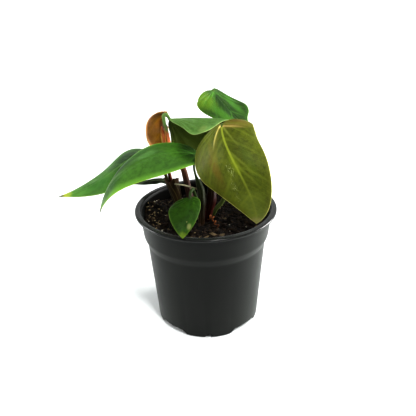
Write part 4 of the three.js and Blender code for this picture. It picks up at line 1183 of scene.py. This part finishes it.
def sheath_paper():
    # A spent leaf sheath, dried on the shoot. It gives papery brown, darker and greener on its left
    # side and redder at the crisp top, with slanting raised nerves.
    material, tree = new_material("dried_papery_sheath")
    place = add(tree, "TexCoord", out="Object")
    spot = add(tree, "Attribute", out="Vector", attribute_name="sheath_place")
    around = add(tree, "SeparateXYZ", {"Vector": spot}, out="X")
    upward = add(tree, "SeparateXYZ", {"Vector": spot}, out="Y")
    patches = add(tree, "TexNoise", {"Vector": place, "Scale": spaced(4.762), "Detail": 5.0})
    colour = add(tree, "Mix", {0: patches, 6: linear("#1c1405"), 7: linear("#35260e")}, out=2,
                 data_type="RGBA")
    green = add(tree, "MapRange", {0: around, 1: 0.1, 2: -0.7, 3: 0.0, 4: 0.6},
                interpolation_type="SMOOTHSTEP")
    colour = add(tree, "Mix", {0: green, 6: colour, 7: linear("#12150a")}, out=2,
                 data_type="RGBA")
    slanted = add(tree, "Math", {0: upward, 1: 0.55, 2: around}, operation="MULTIPLY_ADD")
    nerves = add(tree, "Math", {0: slanted, 1: 0.22}, operation="PINGPONG")
    nerves = add(tree, "MapRange", {0: nerves, 1: 0.0, 2: 0.05, 3: 0.5, 4: 0.0},
                 interpolation_type="SMOOTHSTEP")
    colour = add(tree, "Mix", {0: nerves, 6: colour, 7: linear("#6a6038")}, out=2,
                 data_type="RGBA")
    crisp = add(tree, "MapRange", {0: upward, 1: 0.82, 2: 1.0, 3: 0.0, 4: 0.9})
    colour = add(tree, "Mix", {0: crisp, 6: colour, 7: linear("#3b2412")}, out=2,
                 data_type="RGBA")
    relief = add(tree, "Math", {0: nerves, 1: 1.5, 2: patches}, operation="MULTIPLY_ADD")
    normal = add(tree, "Bump", {"Strength": 0.5, "Distance": 0.4 * MM, "Height": relief})
    shader = add(tree, "BsdfPrincipled", {
        "Base Color": colour, "Roughness": 0.68, "Normal": normal, "Specular IOR Level": 0.12})
    add(tree, "OutputMaterial", {"Surface": shader})
    return material


def dry_sheath():
    """An open roll round the young shoot, wider towards its ragged, split top."""
    rows, columns = SHEATH["rows"], SHEATH["columns"]
    v = np.linspace(0, 1, rows + 1)
    u = np.linspace(-1, 1, columns + 1)
    # The split is a notch beside the middle, and small tears run all along the top.
    split = 1 - SHEATH["split_depth"] * np.maximum(0, 1 - np.abs(u + 0.1) / 0.35)
    ragged = 1 - 0.1 * u * u - 0.012 * (1 + np.sin(19 * u)) * (1 + np.sin(41 * u + 1))
    share = v[:, None] * (split * ragged)[None]
    line = catmull_rom(SHEATH["route"], SHEATH["steps"])
    steps = np.linspace(0, 1, len(line))
    centre = np.stack([np.interp(share, steps, column) for column in line.T], -1)
    stops = np.linspace(0, 1, len(SHEATH["route"]))
    span = np.radians(np.interp(share, stops, SHEATH["span"]))
    radius = np.interp(share, stops, SHEATH["radius"])
    radius = radius + 0.25 * np.sin(6 * u)[None] * share + 0.5 * share ** 4 * np.abs(u)[None] ** 3
    angle = math.radians(SHEATH["front"]) + u[None] * span / 2
    out = np.stack([np.cos(angle), np.sin(angle), np.zeros_like(angle)], -1)
    thick = SHEATH["thickness"] * (1 - 0.35 * share)
    outer = centre + out * (radius + thick)[..., None]
    inner = centre + out * radius[..., None]
    points = [*outer.reshape(-1, 3), *inner.reshape(-1, 3)]
    spot = np.stack([np.broadcast_to(u[None], share.shape), np.broadcast_to(v[:, None], share.shape),
                     share], -1).reshape(-1, 3)
    faces = two_sheets(rows, columns)
    count = (rows + 1) * (columns + 1)
    grid = np.arange(count).reshape(rows + 1, columns + 1)
    for edge in (grid[0], grid[-1], grid[:, 0], grid[:, -1]):
        faces += [(int(a), int(a) + count, int(b) + count, int(b)) for a, b in zip(edge, edge[1:])]
    piece = new_piece("sheath_dry", points, faces, sheath_paper(),
                      {"sheath_place": [*spot, *spot]})
    standing_for(piece, "dry_sheath")


# ---- camera, light and stage -------------------------------------------------------------------

CAMERA_PLACE = (1.8, -449.0, 315.9)
CAMERA_AIM = (1.8, 0.0, 96.8)
CAMERA_ROLL = -1.32  # degrees
SENSOR_WIDTH = 36
FRAME_WIDTH = 416  # pixels
FOCAL_LENGTH = 620.0  # in pixels of that frame
CLIPPING = (0.01, 50)  # metres


def camera():
    data = bpy.data.cameras.new("camera")
    data.sensor_width = SENSOR_WIDTH
    data.lens = FOCAL_LENGTH * SENSOR_WIDTH / FRAME_WIDTH
    data.clip_start, data.clip_end = CLIPPING
    view = placed("camera", data)
    place, aim = Vector(CAMERA_PLACE), Vector(CAMERA_AIM)
    ahead = (aim - place).normalized()
    right = ahead.cross(Vector((0, 0, 1))).normalized()
    up = right.cross(ahead)
    roll = math.radians(CAMERA_ROLL)
    turned = math.cos(roll) * right + math.sin(roll) * up
    raised = -math.sin(roll) * right + math.cos(roll) * up
    axes = Matrix((turned, raised, -ahead)).transposed().to_4x4()
    view.matrix_world = Matrix.Translation(place * MM) @ axes
    bpy.context.scene.camera = view


# Softboxes in metres and watts: place, aim, side and power.
SOFTBOXES = {
    "softbox_key": ((0.26, -0.7, 1.08), (0, 0, 0.1), 0.16, 14),
    "softbox_right": ((1.0, 0.25, 0.3), (0, 0, 0.06), 0.5, 34),
    "softbox_left": ((-1.0, 0.1, 0.3), (0, 0, 0.06), 0.5, 12),
}
BRIGHT_SIDE = (0.1, 0.55, 0.83)  # where the room's light mostly comes from
ROOM_LIGHT = (0.34, 1.08)  # how strong it is on the dim side and on the bright one
BACKDROP_LIGHT = 1.1
PAPER_BACKLIGHT = 0.17
BEND_STEPS = 14
# The paper's sweep in metres: half its width, its ends front and rear, its bend and its top.
SWEEP = {"half_width": 3.5, "front": -3.0, "rear": 1.6, "bend": 1.0, "top": 3.2}
GAMMA = 0.78


def matt_paper():
    # White paper from a roll, calendered without a coat. It gives a nearly white floor that
    # takes no shine and runs into a white backdrop without a line.
    material, tree = new_material("white_paper_sweep")
    place = add(tree, "TexCoord", out="Object")
    cloud = add(tree, "TexNoise", {"Vector": place, "Scale": spaced(500)})
    colour = add(tree, "Mix", {0: cloud, 6: linear("#d6d8d7"), 7: linear("#dadcdb")}, out=2,
                 data_type="RGBA")
    # Towards the rear the paper is cleaner and lit from behind, so the backdrop stays white.
    behind = add(tree, "SeparateXYZ", {"Vector": place}, out="Y")
    behind = add(tree, "MapRange", {0: behind, 1: 0.3, 2: 1.1, 3: 0.0, 4: 1.0},
                 interpolation_type="SMOOTHSTEP")
    colour = add(tree, "Mix", {0: behind, 6: colour, 7: linear("#fcfcfc")}, out=2,
                 data_type="RGBA")
    backlight = add(tree, "Math", {0: behind, 1: PAPER_BACKLIGHT}, operation="MULTIPLY")
    shader = add(tree, "BsdfPrincipled", {
        "Base Color": colour, "Roughness": 0.9, "Emission Color": linear("#ffffff"),
        "Emission Strength": backlight})
    add(tree, "OutputMaterial", {"Surface": shader})
    return material


def paper_sweep():
    rear, bend = SWEEP["rear"], SWEEP["bend"]
    line = [(SWEEP["front"], 0.0), (rear, 0.0)]
    line += [(rear + bend * math.sin(a), bend - bend * math.cos(a))
             for a in np.linspace(0.1, math.pi / 2, BEND_STEPS)]
    line += [(rear + bend, SWEEP["top"])]
    mesh = bpy.data.meshes.new("paper_sweep")
    points = [(x, y, z) for y, z in line for x in (-SWEEP["half_width"], SWEEP["half_width"])]
    faces = [(2 * i, 2 * i + 1, 2 * i + 3, 2 * i + 2) for i in range(len(line) - 1)]
    mesh.from_pydata(points, [], faces)
    mesh.shade_smooth()
    mesh.materials.append(matt_paper())
    placed("paper_sweep", mesh)


def bright_room():
    """Even light from all round, stronger from behind and above, over a white backdrop."""
    world = bpy.data.worlds.new("bright_room")
    bpy.context.scene.world = world
    world.use_nodes = True
    sky = world.node_tree
    sky.nodes.clear()
    way = add(sky, "TexCoord", out="Generated")
    towards = add(sky, "VectorMath", {0: way, 1: BRIGHT_SIDE}, out="Value",
                  operation="DOT_PRODUCT")
    dim, bright = ROOM_LIGHT
    glow = add(sky, "MapRange", {0: towards, 1: -0.9, 2: 0.9, 3: dim, 4: bright},
               interpolation_type="SMOOTHSTEP")
    seen = add(sky, "LightPath", out="Is Camera Ray")
    strength = add(sky, "Mix", {0: seen, 2: glow, 3: BACKDROP_LIGHT}, data_type="FLOAT")
    paper = add(sky, "Background", {"Color": linear("#fbfdff"), "Strength": strength})
    add(sky, "OutputWorld", {"Surface": paper})


def studio():
    paper_sweep()
    bright_room()
    for name, (place, aim, side, watts) in SOFTBOXES.items():
        data = bpy.data.lights.new(name, "AREA")
        data.shape = "SQUARE"
        data.size = side
        data.energy = watts
        lamp = placed(name, data)
        lamp.location = place
        lamp.rotation_euler = (Vector(aim) - Vector(place)).to_track_quat("-Z", "Y").to_euler()
    colours = bpy.context.scene.view_settings
    colours.view_transform = "Standard"
    colours.look = "None"
    colours.gamma = GAMMA


camera()
studio()
nursery_pot()
soil_body()
soil_litter()
stems()
dry_sheath()
leaf_blades()
